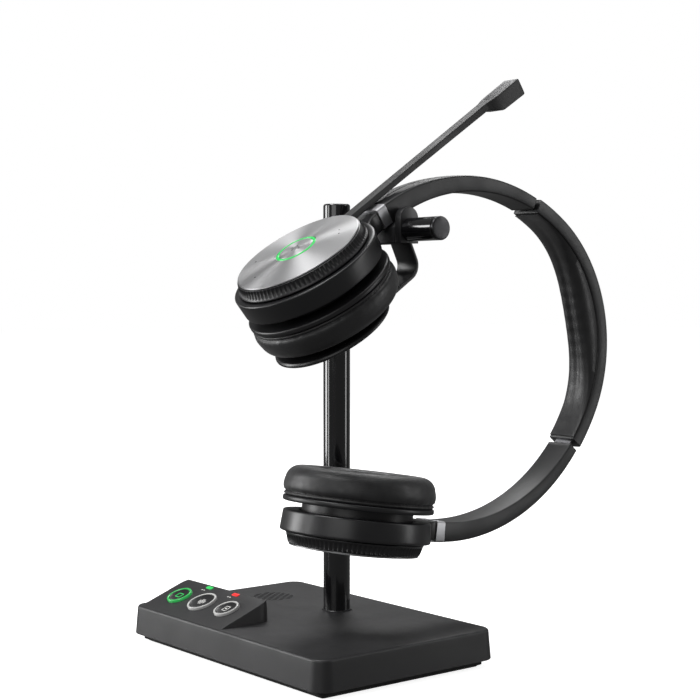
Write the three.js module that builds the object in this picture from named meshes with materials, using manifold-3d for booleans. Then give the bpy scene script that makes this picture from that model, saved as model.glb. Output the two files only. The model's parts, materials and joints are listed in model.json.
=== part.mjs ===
// A wireless office headset resting on its charging base.
// Millimetres. The origin is the centre of the base's underside, +X runs to the right
// along the front of the base, +Y runs rearwards and +Z runs up.

import * as THREE from 'three';
import { mergeVertices } from 'three/addons/utils/BufferGeometryUtils.js';
import Module from 'manifold-3d';

const wasm = await Module();
wasm.setup();

// ---------------------------------------------------------------- driving dimensions

const GAP = 0.3; // between two pieces that touch
const WALL = 2.5; // moulded walls of the base

// Base: a low box with a sloping button panel at its front left.
const BASE_WIDTH = 144.4;
const BASE_DEPTH = 96;
const BASE_CORNER = 6.5;
const BASE_TOP = 16.8;
const BASE_RIM = 3.6; // height of the casing's lower rim above the table
const BASE_DRAFT = 1.0; // how far the rim stands out beyond the top on each side
const PANEL_LEFT = -66.5;
const PANEL_RIGHT = -0.3;
const PANEL_FRONT = -46.8;
const PANEL_BACK = -21.4;
const PANEL_TOP = 26.4;
const PANEL_BACK_SLOPE = 3.4; // how far the panel's rear face leans back to the casing's top
const PANEL_REAR_CORNER = 8;
const PANEL_ANGLE = Math.atan2(PANEL_TOP - BASE_TOP, PANEL_BACK - PANEL_FRONT);
const BUTTON_UP_SLOPE = 13.7;
const RING_WIDTH = 1.0; // the lit ring round each button's cap
const BUTTONS = [
  { name: 'left', x: -53, radius: 6.05 },
  { name: 'centre', x: -34, radius: 7.05 },
  { name: 'right', x: -14.3, radius: 6.0 },
];
const LED_UP_SLOPE = 25.0;
const LEDS = [{ name: 'green', x: -43.8 }, { name: 'red', x: -22.5 }];
const BUTTON_FLANGE_TOP = -WALL - GAP;
const LED_SIZE = { width: 4.5, length: 2 };
const GRILLE = { x: -45.3, y: 14, radius: 9.8, pitch: 2.6 };
const USB = { x: -22, z: 8.5, width: 11, height: 5.6, depth: 9 };
const PHONE = { x: 14, z: 9.35, width: 13, height: 9.2, depth: 14 };
const SOCKET_FACE = BASE_DEPTH / 2 - 0.2;
const FOOT_INSET = 3; // of the bottom plate, inside the casing's outline
const BOTTOM_PLATE_TOP = 4.2;

// Stand: a round post, a horizontal arm along X, and a bent bracket with the charging pad.
const POST = { x: -2.4, y: 19.2, radius: 6.15, bottom: 4.5, top: 203.5 };
const ARM = { height: 190, radius: 5.1, end: 69, core: 2.6 };
const STOP_FACE = 48.5; // right-hand face of the stop plate
const STOP_THICKNESS = 3.9;
const RIBBON_LEFT = 35.6;
const RIBBON_THICKNESS = 1.4;
const RIBBON_BEND = 7.0;
const CORE_LEFT = -1.5; // left end of the arm's core, inside the post
const SADDLE = { front: 14.1, back: 24.3, bottom: 184.2, top: 195 };
const SADDLE_LEFT = 3;
const SADDLE_RIGHT = STOP_FACE - STOP_THICKNESS - GAP;
const FLANGE_TOP = 185.6;
const PAD_RADIUS = 27;
const PAD_UNDERSIDE = 38.7;
const PAD_OFFSET = -3.6; // the pad's centre, towards the front of the cup's axis
const PAD_FACE = 36.5; // the pad's upper face
const TRAY_TOP = PAD_UNDERSIDE - RIBBON_THICKNESS;
const BEND_CENTRE = 37.3;
const COVER_RADIUS = 11.5; // the coil's raised cover, which stands in the ear cushion's hollow

// Headset: the band is an outline of three arcs, symmetric about its own middle line.
const HEADSET_X = 35; // plane of the band
const CROWN_POINT = { y: 151.44, z: 154.88 };
const BAND_TILT = THREE.MathUtils.degToRad(13.16);
const CROWN_RADIUS = 72.81;
const CROWN_HALF_ANGLE = 41.11;
const SIDE_RADIUS = 102.3;
const SHELL_END = 51.8; // angles in degrees from the crown point
const ARM_START = 53.44;
const ARM_END = 108.21;
const CLIP_END = 111.34;
const ARM_CENTRE_INSET = 5.3;
const CUP_REACH = 40.74; // from the clip's end to the cup's axis
const CUP_RISE = 10.43; // the cup's outer disc stands this far outside the arm's centre line
const CROWN_WIDTH = 16.2;
const ARM_WIDTH = 15;
const SHELL_THICKNESS = 7.2;
const CROWN_PAD_END = 51.2;
const CROWN_PAD_EDGE = 8; // inset of the pad's face at its ends
const CROWN_PAD_SWELL = 8.7; // how much further in the face is at the crown point
const STRIP_RADIUS = 97.9; // slider strips, about the side arcs' centres
const STRIP_START = 30;
const STRIP_STOP = 65;
const STRIP_WIDTH = 10;
const STRIP_THICKNESS = 1.2;
const TONGUE_START = 105;
const TONGUE_RADIUS = SIDE_RADIUS - ARM_CENTRE_INSET;
const TONGUE_THICKNESS = 3.5;
const TONGUE_WIDTH = 9;
const CLIP_START = ARM_END + 0.2;
const CLIP_INSET = 10; // inset of the clip's inner face
const CLIP_WIDTH = 15.2;
const ARM_INSET = 6.6; // inset of the arm's inner face at its upper end
const ARM_TAPER = 0.0566; // the arm thickens by this much per degree

// Ear cup, along its axis from the outer disc (0) inwards.
const DISC_RADIUS = 28.3;
const DISC_DOME = 1.7;
const WINDOW_INNER = 8.1; // the ring window round the call button
const WINDOW_OUTER = 9.2;
const RING_END = 5.7;
const HOUSING_RADIUS = 32.9;
const HOUSING_END = 15.2;
const PLATE_START = 18.8;
const PLATE_END = 21.2;
const PLATE_RADIUS = 33;
const CUSHION_END = 34.2;
const CUSHION_RADIUS = 32.8;
const EAR_HOLLOW = 17.5;
const BALL_DEPTH = 15.5;
const BALL_RADIUS = 2.8;
const BUSH_HALF_HEIGHT = 2.1;
const BUSH_RADIUS = 4.3;
const BULKHEAD = 8.8;
const FLOOR = 13.2;
const BLOCK_END = CUP_REACH - GAP;

// Microphone boom, measured from the cup's axis.
const BOOM_WIDTH = 6.2;
const BOOM_ROOT = 27.2;
const HEAD_START = 127;
const HEAD_END = 150.2;
const HEAD_WIDTH = 9.5;
const HEAD_UNDERSIDE = 9.9;
const BOOM_TOP = 1.8;
const HEAD_MIDDLE = 139.3;
const CAPSULE = 143;

// ---------------------------------------------------------------- materials

const material = (color, roughness, metalness = 0) =>
  new THREE.MeshStandardMaterial({ color, roughness, metalness });

const casingPlastic = () => material(0x3c3d40, 0.45);
const glossBlack = () => material(0x0c0c0e, 0.12);
const satinBlack = () => material(0x17181a, 0.4);
const mattGrey = () => material(0x2b2c2f, 0.6);
const rubber = () => material(0x101011, 0.85);
const brushedMetal = () => material(0xa9abae, 0.3, 0.9);
const steel = () => material(0x8d8f93, 0.35, 0.9);
const greenPlastic = () => material(0x3fae49, 0.35);
const redPlastic = () => material(0xb3261e, 0.35);
const whitePlastic = () => material(0xe4e4e2, 0.35);
const boardGreen = () => material(0x1d5a35, 0.6);
const blackLeather = () => material(0x131314, 0.6);
const blackCloth = () => material(0x1a1a1c, 0.95);
const copper = () => material(0xb4693a, 0.4, 0.8);

// ---------------------------------------------------------------- helpers

const headset = new THREE.Group(); // the whole object
const ROUND = 32; // facets of a large circle
const MEDIUM = 24; // facets of a middling circle
const SMALL = 12; // facets of a small circle

function addPiece(parent, name, geometry, finish) {
  const mesh = new THREE.Mesh(geometry, finish);
  mesh.name = name;
  parent.add(mesh);
  return mesh;
}

function toSolid(geometry) {
  const bare = geometry.clone();
  bare.deleteAttribute('normal');
  bare.deleteAttribute('uv');
  const merged = mergeVertices(bare, 1e-4);
  const vertProperties = new Float32Array(merged.attributes.position.array);
  const triVerts = new Uint32Array(merged.index.array);
  return new wasm.Manifold(new wasm.Mesh({ numProp: 3, vertProperties, triVerts }));
}

function toGeometry(solid) {
  const mesh = solid.getMesh();
  const geometry = new THREE.BufferGeometry();
  geometry.setAttribute('position', new THREE.BufferAttribute(new Float32Array(mesh.vertProperties), 3));
  geometry.setIndex(new THREE.BufferAttribute(new Uint32Array(mesh.triVerts), 1));
  geometry.computeVertexNormals();
  return geometry;
}

const join = (...geometries) => toGeometry(geometries.map(toSolid).reduce((sum, solid) => sum.add(solid)));

const cut = (geometry, ...tools) =>
  toGeometry(tools.map(toSolid).reduce((rest, tool) => rest.subtract(tool), toSolid(geometry)));

const common = (first, second) => toGeometry(toSolid(first).intersect(toSolid(second)));

// A box between two corners.
function box(x0, x1, y0, y1, z0, z1) {
  const geometry = new THREE.BoxGeometry(x1 - x0, y1 - y0, z1 - z0);
  return geometry.translate((x0 + x1) / 2, (y0 + y1) / 2, (z0 + z1) / 2);
}

// A cylinder along Z.
function rod(radius, z0, z1, x = 0, y = 0, facets = SMALL) {
  const geometry = new THREE.CylinderGeometry(radius, radius, z1 - z0, facets);
  return geometry.rotateX(Math.PI / 2).translate(x, y, (z0 + z1) / 2);
}

// A cylinder along X.
function rodX(radius, x0, x1, y, z, facets = SMALL) {
  const geometry = new THREE.CylinderGeometry(radius, radius, x1 - x0, facets);
  return geometry.rotateZ(Math.PI / 2).translate((x0 + x1) / 2, y, z);
}

// A body of revolution about Z from points [radius, height]; a profile off the axis is closed on itself.
function turned(points, facets = ROUND) {
  const profile = points.map(([radius, height]) => new THREE.Vector2(radius, height));
  if (profile[0].x > 0 || profile.at(-1).x > 0) {
    profile.push(profile[0].clone());
  }
  if (signedArea(profile) < 0) {
    profile.reverse();
  }
  return new THREE.LatheGeometry(profile, facets).rotateX(Math.PI / 2);
}

function signedArea(profile) {
  const next = (index) => profile[(index + 1) % profile.length];
  return profile.reduce((sum, point, index) => sum + point.x * next(index).y - next(index).x * point.y, 0);
}

// Points of an arc, angles in degrees.
function arc(centreX, centreY, radius, from, to, steps) {
  return Array.from({ length: steps + 1 }, (_, index) => {
    const angle = THREE.MathUtils.degToRad(from + ((to - from) * index) / steps);
    return [centreX + radius * Math.cos(angle), centreY + radius * Math.sin(angle)];
  });
}

const shapeOf = (points) => new THREE.Shape(points.map(([x, y]) => new THREE.Vector2(x, y)));

function roundedRectangle(x0, x1, y0, y1, corner) {
  const steps = 4;
  return shapeOf([
    ...arc(x1 - corner, y1 - corner, corner, 0, 90, steps),
    ...arc(x0 + corner, y1 - corner, corner, 90, 180, steps),
    ...arc(x0 + corner, y0 + corner, corner, 180, 270, steps),
    ...arc(x1 - corner, y0 + corner, corner, 270, 360, steps),
  ]);
}

// Extrudes a plan outline from z0 to z1, with its edges rounded by bevel.
function upright(shape, z0, z1, bevel = 0) {
  const geometry = new THREE.ExtrudeGeometry(shape, {
    depth: z1 - z0 - 2 * bevel,
    bevelEnabled: bevel > 0,
    bevelThickness: bevel,
    bevelSize: bevel,
    bevelOffset: -bevel,
    bevelSegments: 1,
  });
  return geometry.translate(0, 0, z0 + bevel);
}

// Extrudes an outline drawn in Y and Z along X, from x0 to x1.
function sideways(shape, x0, x1, bevel = 0) {
  const upToX = new THREE.Matrix4().set(0, 0, 1, 0, 1, 0, 0, 0, 0, 1, 0, 0, 0, 0, 0, 1);
  return upright(shape, x0, x1, bevel).applyMatrix4(upToX);
}

// ---------------------------------------------------------------- base

const basePlan = (inset, corner = BASE_CORNER - inset) =>
  roundedRectangle(
    -BASE_WIDTH / 2 + inset, BASE_WIDTH / 2 - inset,
    -BASE_DEPTH / 2 + inset, BASE_DEPTH / 2 - inset, corner);

// The panel's raised block, inset all round; its rear corners are rounded in plan.
function panelBlock(inset, floor) {
  const rise = inset / Math.cos(PANEL_ANGLE);
  const profile = shapeOf([
    [PANEL_FRONT + inset, floor],
    [PANEL_FRONT + inset, BASE_TOP - rise + inset * Math.tan(PANEL_ANGLE)],
    [PANEL_BACK - inset * 0.4, PANEL_TOP - rise - inset * 0.4 * Math.tan(PANEL_ANGLE)],
    [PANEL_BACK + PANEL_BACK_SLOPE - inset, BASE_TOP - inset],
    [PANEL_BACK + PANEL_BACK_SLOPE - inset, floor],
  ]);
  const plan = roundedRectangle(
    PANEL_LEFT + inset, PANEL_RIGHT - inset, PANEL_FRONT - 20, PANEL_BACK + PANEL_BACK_SLOPE + 0.2 - inset,
    PANEL_REAR_CORNER - inset / 2);
  return common(sideways(profile, PANEL_LEFT, PANEL_RIGHT), upright(plan, floor - 1, PANEL_TOP + 1));
}

// The casing's side walls lean outwards towards the rim.
function drafted(geometry) {
  const position = geometry.attributes.position;
  for (let index = 0; index < position.count; index += 1) {
    const lean = (BASE_DRAFT * (BASE_TOP - position.getZ(index))) / (BASE_TOP - BASE_RIM);
    position.setX(index, position.getX(index) * (1 + lean / (BASE_WIDTH / 2)));
    position.setY(index, position.getY(index) * (1 + lean / (BASE_DEPTH / 2)));
  }
  return geometry;
}

// Moves a geometry from the panel's frame, y up the slope and z out of the panel, to the base's frame.
function onPanel(geometry) {
  return geometry.rotateX(PANEL_ANGLE).translate(0, PANEL_FRONT, BASE_TOP);
}

function grilleSlots() {
  const slots = [];
  const rows = Math.floor(GRILLE.radius / GRILLE.pitch);
  for (let row = -rows; row <= rows; row += 1) {
    const x = GRILLE.x + row * GRILLE.pitch;
    const reach = Math.sqrt(GRILLE.radius ** 2 - (row * GRILLE.pitch) ** 2);
    slots.push(box(x - 0.5, x + 0.5, GRILLE.y - reach, GRILLE.y - 0.8, BASE_TOP - 4, BASE_TOP + 1));
    slots.push(box(x - 0.5, x + 0.5, GRILLE.y + 0.8, GRILLE.y + reach, BASE_TOP - 4, BASE_TOP + 1));
  }
  return slots;
}

const socketBlock = (socket, clearance, y0, y1) =>
  box(
    socket.x - socket.width / 2 - clearance, socket.x + socket.width / 2 + clearance, y0, y1,
    socket.z - socket.height / 2 - clearance, socket.z + socket.height / 2 + clearance);

const socketBody = (socket) => socketBlock(socket, 0, SOCKET_FACE - socket.depth, SOCKET_FACE);
const socketHole = (socket) => socketBlock(socket, GAP, SOCKET_FACE - socket.depth - 1, SOCKET_FACE + 10);

function baseCasing() {
  const shell = drafted(upright(basePlan(0), -4, BASE_TOP, 1.3));
  const hollow = upright(basePlan(WALL), -8, BASE_TOP - WALL);
  const buttonHoles = BUTTONS.map((button) =>
    onPanel(rod(button.radius + GAP, -6, 6, button.x, BUTTON_UP_SLOPE, MEDIUM)));
  const ledHoles = LEDS.map((led) => onPanel(ledBlock(led.x, GAP, -6, 6)));
  const closed = join(shell, panelBlock(0, 8));
  return cut(
    closed, box(-90, 90, -60, 60, -30, BASE_RIM), hollow, panelBlock(WALL, 7), ...buttonHoles, ...ledHoles,
    ...grilleSlots(), rod(POST.radius + GAP, 10, 30, POST.x, POST.y, MEDIUM),
    socketHole(USB), socketHole(PHONE));
}

function ledBlock(x, clearance, z0, z1) {
  const halfWidth = LED_SIZE.width / 2 + clearance;
  const halfLength = LED_SIZE.length / 2 + clearance;
  return box(x - halfWidth, x + halfWidth, LED_UP_SLOPE - halfLength, LED_UP_SLOPE + halfLength, z0, z1);
}

// A ring stands out of the panel round its cap, with a flange behind the panel.
function buttonRing(button) {
  const bore = button.radius - RING_WIDTH;
  return onPanel(
    turned([
      [bore, BUTTON_FLANGE_TOP - 0.8], [button.radius + 1.2, BUTTON_FLANGE_TOP - 0.8],
      [button.radius + 1.2, BUTTON_FLANGE_TOP], [button.radius, BUTTON_FLANGE_TOP], [button.radius, 0.8],
      [button.radius - 0.4, 1.3], [bore, 1.1],
    ], MEDIUM).translate(button.x, BUTTON_UP_SLOPE, 0));
}

// A cap has a shallow dish on top.
function buttonCap(button) {
  const edge = button.radius - RING_WIDTH - GAP;
  return onPanel(
    turned([
      [0, -5.2], [1.6, -5.2], [1.6, -3.6], [edge, -3.6], [edge, 0.7], [edge - 0.4, 1.0], [0, 0.4],
    ], 20).translate(button.x, BUTTON_UP_SLOPE, 0));
}

function buildBase() {
  addPiece(headset, 'base_casing', baseCasing(), casingPlastic());

  const screwHole = turned([[0, 0], [3.9, 0], [3.9, 1.9], [1.9, 3.4], [1.9, 6], [0, 6]], SMALL);
  const bottomPlate = cut(
    upright(basePlan(FOOT_INSET), 1.2, BOTTOM_PLATE_TOP), screwHole.translate(POST.x, POST.y, 1.0));
  addPiece(headset, 'base_bottom_plate', bottomPlate, satinBlack());
  addPiece(headset, 'rubber_base_pad', upright(basePlan(FOOT_INSET + 2), 0, 0.9, 0.2), rubber());
  const ballast = box(-60, 60, -40, -6, BOTTOM_PLATE_TOP + GAP, 9.6);
  addPiece(headset, 'ballast_plate', ballast, steel());
  addPiece(headset, 'base_circuit_board', box(-60, 60, -41, -6, 9.9, 11.5), boardGreen());
  const speaker = turned([
    [0, 6], [7, 6], [7, 8.5], [14, 11.5], [14.5, 11.5], [14.5, 13.6], [12.5, 13.6], [5, 10.6], [0, 10.9],
  ], MEDIUM);
  addPiece(headset, 'loudspeaker', speaker.translate(GRILLE.x, GRILLE.y, 0), satinBlack());

  const usbMouth = box(USB.x - 4.5, USB.x + 4.5, 40, 60, USB.z - 1.6, USB.z + 1.6);
  addPiece(headset, 'usb_socket', cut(socketBody(USB), usbMouth), steel());
  const phoneMouth = box(PHONE.x - 4.9, PHONE.x + 4.9, 37, 60, PHONE.z - 3.2, PHONE.z + 3.2);
  addPiece(headset, 'phone_socket', cut(socketBody(PHONE), phoneMouth), satinBlack());

  const ringColours = { left: greenPlastic, centre: whitePlastic, right: whitePlastic };
  for (const button of BUTTONS) {
    addPiece(headset, `button_ring_${button.name}`, buttonRing(button), ringColours[button.name]());
    addPiece(headset, `button_${button.name}`, buttonCap(button), satinBlack());
  }
  const ledColours = { green: greenPlastic, red: redPlastic };
  for (const led of LEDS) {
    const window = onPanel(ledBlock(led.x, 0, -3.2, 0.25));
    addPiece(headset, `led_window_${led.name}`, window, ledColours[led.name]());
  }
}

// ---------------------------------------------------------------- stand

function buildStand() {
  const post = turned([
    [0, POST.bottom], [POST.radius, POST.bottom], [POST.radius, POST.top - 0.7],
    [POST.radius - 0.7, POST.top], [0, POST.top],
  ], MEDIUM).translate(POST.x, POST.y, 0);
  const drilled = cut(
    post, rod(1.9, 0, 24, POST.x, POST.y),
    rodX(ARM.core + GAP, CORE_LEFT - GAP, 12, POST.y, ARM.height),
    rodX(1.7, -12, CORE_LEFT + 1, POST.y, ARM.height), rodX(2.9, -12, -5.8, POST.y, ARM.height));
  addPiece(headset, 'stand_post', drilled, glossBlack());
  const postScrew = turned([
    [0, 1.5], [3.5, 1.5], [3.5, 2.6], [1.5, 4.2], [1.5, 20], [0, 20],
  ], SMALL);
  addPiece(headset, 'post_screw', postScrew.translate(POST.x, POST.y, 0), steel());

  const arm = join(
    rodX(ARM.core, CORE_LEFT, STOP_FACE + 2, POST.y, ARM.height),
    rodX(ARM.radius, STOP_FACE + GAP, ARM.end - 1.8, POST.y, ARM.height, MEDIUM));
  const capHole = rodX(2.3, ARM.end - 9, ARM.end, POST.y, ARM.height);
  const screwHole = rodX(1.7, CORE_LEFT - 1, 9, POST.y, ARM.height);
  addPiece(headset, 'stand_arm', cut(arm, capHole, screwHole), glossBlack());
  const armScrew = join(
    rodX(2.6, -8.2, -6.2, POST.y, ARM.height), rodX(1.4, -7, 7.5, POST.y, ARM.height));
  addPiece(headset, 'arm_screw', armScrew, steel());
  const capFace = turned([
    [0, -8], [2, -8], [2, -1.5], [ARM.radius, -1.5], [ARM.radius, -0.4], [ARM.radius - 0.4, 0], [0, 0.1],
  ], MEDIUM);
  capFace.rotateY(Math.PI / 2).translate(ARM.end, POST.y, ARM.height);
  addPiece(headset, 'arm_end_cap', capFace, steel());

  addPiece(headset, 'arm_saddle', armSaddle(), mattGrey());
}

// The saddle fills the arm's length between the post and the stop plate, and the headband rests on it.
function armSaddle() {
  const outline = new THREE.Shape();
  outline.moveTo(SADDLE.front, SADDLE.bottom);
  outline.lineTo(SADDLE.back, SADDLE.bottom);
  outline.lineTo(SADDLE.back, ARM.height);
  outline.quadraticCurveTo(SADDLE.back, SADDLE.top, 19.4, SADDLE.top);
  outline.quadraticCurveTo(15.9, 193.7, SADDLE.front, 191.4);
  const points = outline.getPoints(6).map((point) => [point.x, point.y]);
  const saddle = sideways(shapeOf(points), SADDLE_LEFT, SADDLE_RIGHT);
  return cut(
    saddle, rodX(ARM.core + GAP, -5, 60, POST.y, ARM.height),
    rod(POST.radius + GAP, 180, 200, POST.x, POST.y, MEDIUM),
    box(RIBBON_LEFT - GAP, 60, 0, 40, 180, FLANGE_TOP + GAP));
}

// ---------------------------------------------------------------- headband

const bandFrame = new THREE.Group(); // y towards the crown, z towards the upper ear cup
bandFrame.position.set(HEADSET_X, CROWN_POINT.y, CROWN_POINT.z);
bandFrame.rotation.x = BAND_TILT;
headset.add(bandFrame);

const RADIUS_STEP = SIDE_RADIUS - CROWN_RADIUS;
const SIDE_CENTRE = {
  y: -CROWN_RADIUS - RADIUS_STEP * Math.cos(THREE.MathUtils.degToRad(CROWN_HALF_ANGLE)),
  z: -RADIUS_STEP * Math.sin(THREE.MathUtils.degToRad(CROWN_HALF_ANGLE)),
};

// A point of the band at an angle from the crown point, inset from the outer outline.
function bandPoint(angle, inset) {
  const radians = THREE.MathUtils.degToRad(angle);
  const onCrown = Math.abs(angle) <= CROWN_HALF_ANGLE;
  const side = Math.sign(angle);
  const centreY = onCrown ? -CROWN_RADIUS : SIDE_CENTRE.y;
  const centreZ = onCrown ? 0 : side * SIDE_CENTRE.z;
  const radius = (onCrown ? CROWN_RADIUS : SIDE_RADIUS) - inset;
  return [centreY + radius * Math.cos(radians), centreZ + radius * Math.sin(radians)];
}

// The band's section between two angles and two insets; the inner inset may change along it.
function bandSection(from, to, outer, innerAt, steps) {
  const angles = Array.from({ length: steps + 1 }, (_, index) => from + ((to - from) * index) / steps);
  const outside = angles.map((angle) => bandPoint(angle, outer));
  const inside = angles.map((angle) => bandPoint(angle, innerAt(angle))).reverse();
  return shapeOf([...outside, ...inside]);
}

const armInset = (angle) => ARM_INSET + (angle - ARM_START) * ARM_TAPER;

// A curved strip round the side arc's centre.
function strip(from, to, radius, thickness, width, steps = 5) {
  const outer = arc(SIDE_CENTRE.y, SIDE_CENTRE.z, radius + thickness / 2, from, to, steps);
  const inner = arc(SIDE_CENTRE.y, SIDE_CENTRE.z, radius - thickness / 2, to, from, steps);
  return sideways(shapeOf([...outer, ...inner]), -width / 2, width / 2);
}

function buildCrown() {
  const section = bandSection(-SHELL_END, SHELL_END, 0, () => SHELL_THICKNESS, 20);
  const shell = sideways(section, -CROWN_WIDTH / 2, CROWN_WIDTH / 2, 1.2);
  const pocket = strip(
    STRIP_START - 2.5, SHELL_END + 2, STRIP_RADIUS, STRIP_THICKNESS + 0.8, STRIP_WIDTH + 1);
  const otherPocket = pocket.clone().rotateY(Math.PI);
  addPiece(bandFrame, 'crown_shell', cut(shell, pocket, otherPocket), satinBlack());

  // The pad is thickest at the crown and thins towards its ends.
  const padInset = (angle) => {
    const phase = ((angle / CROWN_PAD_END) * Math.PI) / 2;
    return CROWN_PAD_EDGE + CROWN_PAD_SWELL * Math.cos(phase) ** 2;
  };
  const pad = bandSection(-CROWN_PAD_END, CROWN_PAD_END, SHELL_THICKNESS + GAP, padInset, 18);
  const halfWidth = CROWN_WIDTH / 2 - 0.3;
  addPiece(bandFrame, 'crown_pad', sideways(pad, -halfWidth, halfWidth), blackLeather());
}

// ---------------------------------------------------------------- one side: arm, clip and ear cup

function sideArm() {
  const section = bandSection(ARM_START, ARM_END, 0.4, armInset, 10);
  const arm = sideways(section, -ARM_WIDTH / 2, ARM_WIDTH / 2, 1.2);
  const stripPocket = strip(
    ARM_START - 3, STRIP_STOP + 0.3, STRIP_RADIUS, STRIP_THICKNESS + 2 * GAP, STRIP_WIDTH + 2 * GAP);
  const tonguePocket = strip(
    TONGUE_START - 0.3, ARM_END + 3, TONGUE_RADIUS, TONGUE_THICKNESS + 2 * GAP, TONGUE_WIDTH + 2 * GAP);
  const groove = strip(92, 103.6, SIDE_RADIUS, 2, 1.1);
  return cut(arm, stripPocket, tonguePocket, groove);
}

function clip() {
  const section = bandSection(CLIP_START, CLIP_END, 0.3, () => CLIP_INSET, 2);
  const sleeve = sideways(section, -CLIP_WIDTH / 2, CLIP_WIDTH / 2, 0.6);
  const opening = strip(
    CLIP_START - 2, CLIP_END + 2, TONGUE_RADIUS, TONGUE_THICKNESS + 2 * GAP, TONGUE_WIDTH + 2 * GAP);
  return cut(sleeve, opening);
}

// Cup frame: y towards the arm, z outwards along the cup's axis, origin at the centre of the outer disc.
const CLIP_ANGLE = THREE.MathUtils.degToRad(CLIP_END);
const CUP_TILT = CLIP_ANGLE - Math.PI / 2 - 0.0054;

function cupPosition() {
  const [endY, endZ] = bandPoint(CLIP_END, ARM_CENTRE_INSET);
  return new THREE.Vector3(
    0,
    endY - CUP_REACH * Math.cos(CUP_TILT) - CUP_RISE * Math.sin(CUP_TILT),
    endZ - CUP_REACH * Math.sin(CUP_TILT) + CUP_RISE * Math.cos(CUP_TILT));
}

function cupGroup(parent) {
  const group = new THREE.Group();
  group.position.copy(cupPosition());
  group.rotation.x = CUP_TILT;
  parent.add(group);
  group.updateMatrix();
  return group;
}

// The cup's outer shell, with the block and tongue that carry it on the arm.
function housing(cup) {
  const shell = turned([
    [32.4, -RING_END - GAP], [HOUSING_RADIUS, -RING_END - 0.8],
    [32.2, -HOUSING_END + 0.5], [31.7, -HOUSING_END],
    [25.6, -HOUSING_END], [25.6, -FLOOR], [29.6, -FLOOR], [29.6, -BULKHEAD - 1.6], [2.3, -BULKHEAD - 1.6],
    [2.3, -BULKHEAD], [29.9, -BULKHEAD], [29.9, -RING_END - GAP],
  ]);
  const side = shapeOf([[26, -14.8], [BLOCK_END, -14.8], [BLOCK_END, -6.65], [26, -6.65]]);
  const plan = shapeOf([
    [-13.5, 26], [-13.5, 29.4], [-9.6, 32.4], [-7.9, 35], [-7.5, 37.5], [-7.5, BLOCK_END],
    [7.5, BLOCK_END], [7.5, 37.5], [7.9, 35], [9.6, 32.4], [13.5, 29.4], [13.5, 26],
  ]);
  const block = common(sideways(side, -15, 15), upright(plan, -16, -5));
  const toCup = cup.matrix.clone().invert();
  const tongue = strip(TONGUE_START, CLIP_END + 1.4, TONGUE_RADIUS, TONGUE_THICKNESS, TONGUE_WIDTH);
  const outside = cut(block, rod(30.4, -20, 0, 0, 0, ROUND));
  return join(shell, outside, tongue.applyMatrix4(toCup));
}

function ballStud() {
  const shank = 1.3;
  const neckDepth = BALL_DEPTH - Math.sqrt(BALL_RADIUS ** 2 - shank ** 2);
  const startAngle = THREE.MathUtils.radToDeg(Math.acos(shank / BALL_RADIUS));
  return turned([
    ...arc(0, -BALL_DEPTH, BALL_RADIUS, -90, startAngle, 4),
    [shank, -neckDepth + 0.2], [shank, -11.5], [3.4, -11.5], [3.4, -10.7],
    [2, -10.7], [2, -8.5], [3.8, -8.5], [3.8, -7.4], [0, -7.4],
  ].map(([radius, height]) => [Math.max(radius, 0), height]), SMALL);
}

// Points of a band of a sphere about the ball's centre, as tall as the bush.
function ballBand(radius, upwards) {
  const reach = THREE.MathUtils.radToDeg(Math.asin(BUSH_HALF_HEIGHT / radius)) * (upwards ? 1 : -1);
  return arc(0, -BALL_DEPTH, radius, -reach, reach, 4);
}

// The split bush snaps over the ball, and the neck snaps over the bush.
const ballBush = () =>
  turned([...ballBand(BUSH_RADIUS, true), ...ballBand(BALL_RADIUS + GAP, false)], MEDIUM);

function neck() {
  const mouth = Math.sqrt((BUSH_RADIUS + GAP) ** 2 - BUSH_HALF_HEIGHT ** 2);
  return turned([
    [24.3, -12.9], [24.3, -PLATE_START + GAP], [22.8, -PLATE_START + GAP], [22.8, -14.1], [6.2, -14.1],
    [6.2, -BALL_DEPTH - BUSH_HALF_HEIGHT], ...ballBand(BUSH_RADIUS + GAP, true), [mouth, -12.9],
  ], MEDIUM);
}

function earCushion() {
  const top = -PLATE_END - GAP;
  const outer = CUSHION_RADIUS;
  const round = 4;
  return turned([
    [EAR_HOLLOW, top], [outer - 1.5, top], [outer, top - 2],
    ...arc(outer - round, -CUSHION_END + round, round, 0, -90, 3),
    ...arc(EAR_HOLLOW + round, -CUSHION_END + round, round, -90, -180, 2),
  ]);
}

// The skirt that both trim rings and boom rings share.
const ringProfile = () => [
  [26.5, -0.8], [28.7, -0.8], [30.1, -RING_END + GAP], [29.6, -RING_END], [28.9, -RING_END], [28.9, -8.5],
  [26.5, -8.5],
];

const domeHeight = (radius) => DISC_DOME * (1 - (radius / DISC_RADIUS) ** 2);

// Points of the domed disc's top between two radii, and the disc's skirt.
function discProfile(innerRadius) {
  const steps = 3;
  const width = (DISC_RADIUS - innerRadius) / steps;
  const radii = Array.from({ length: steps + 1 }, (_, index) => innerRadius + width * index);
  const top = radii.map((radius) => [radius, domeHeight(radius)]);
  const inwards = radii.slice(0, -1).reverse();
  const under = inwards.map((radius) => [Math.min(radius, 24.5), domeHeight(radius) - 1.2]);
  return [...top, [DISC_RADIUS, -0.5], [26.1, -0.5], [26.1, -8.4], [24.5, -8.4], ...under];
}

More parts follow.
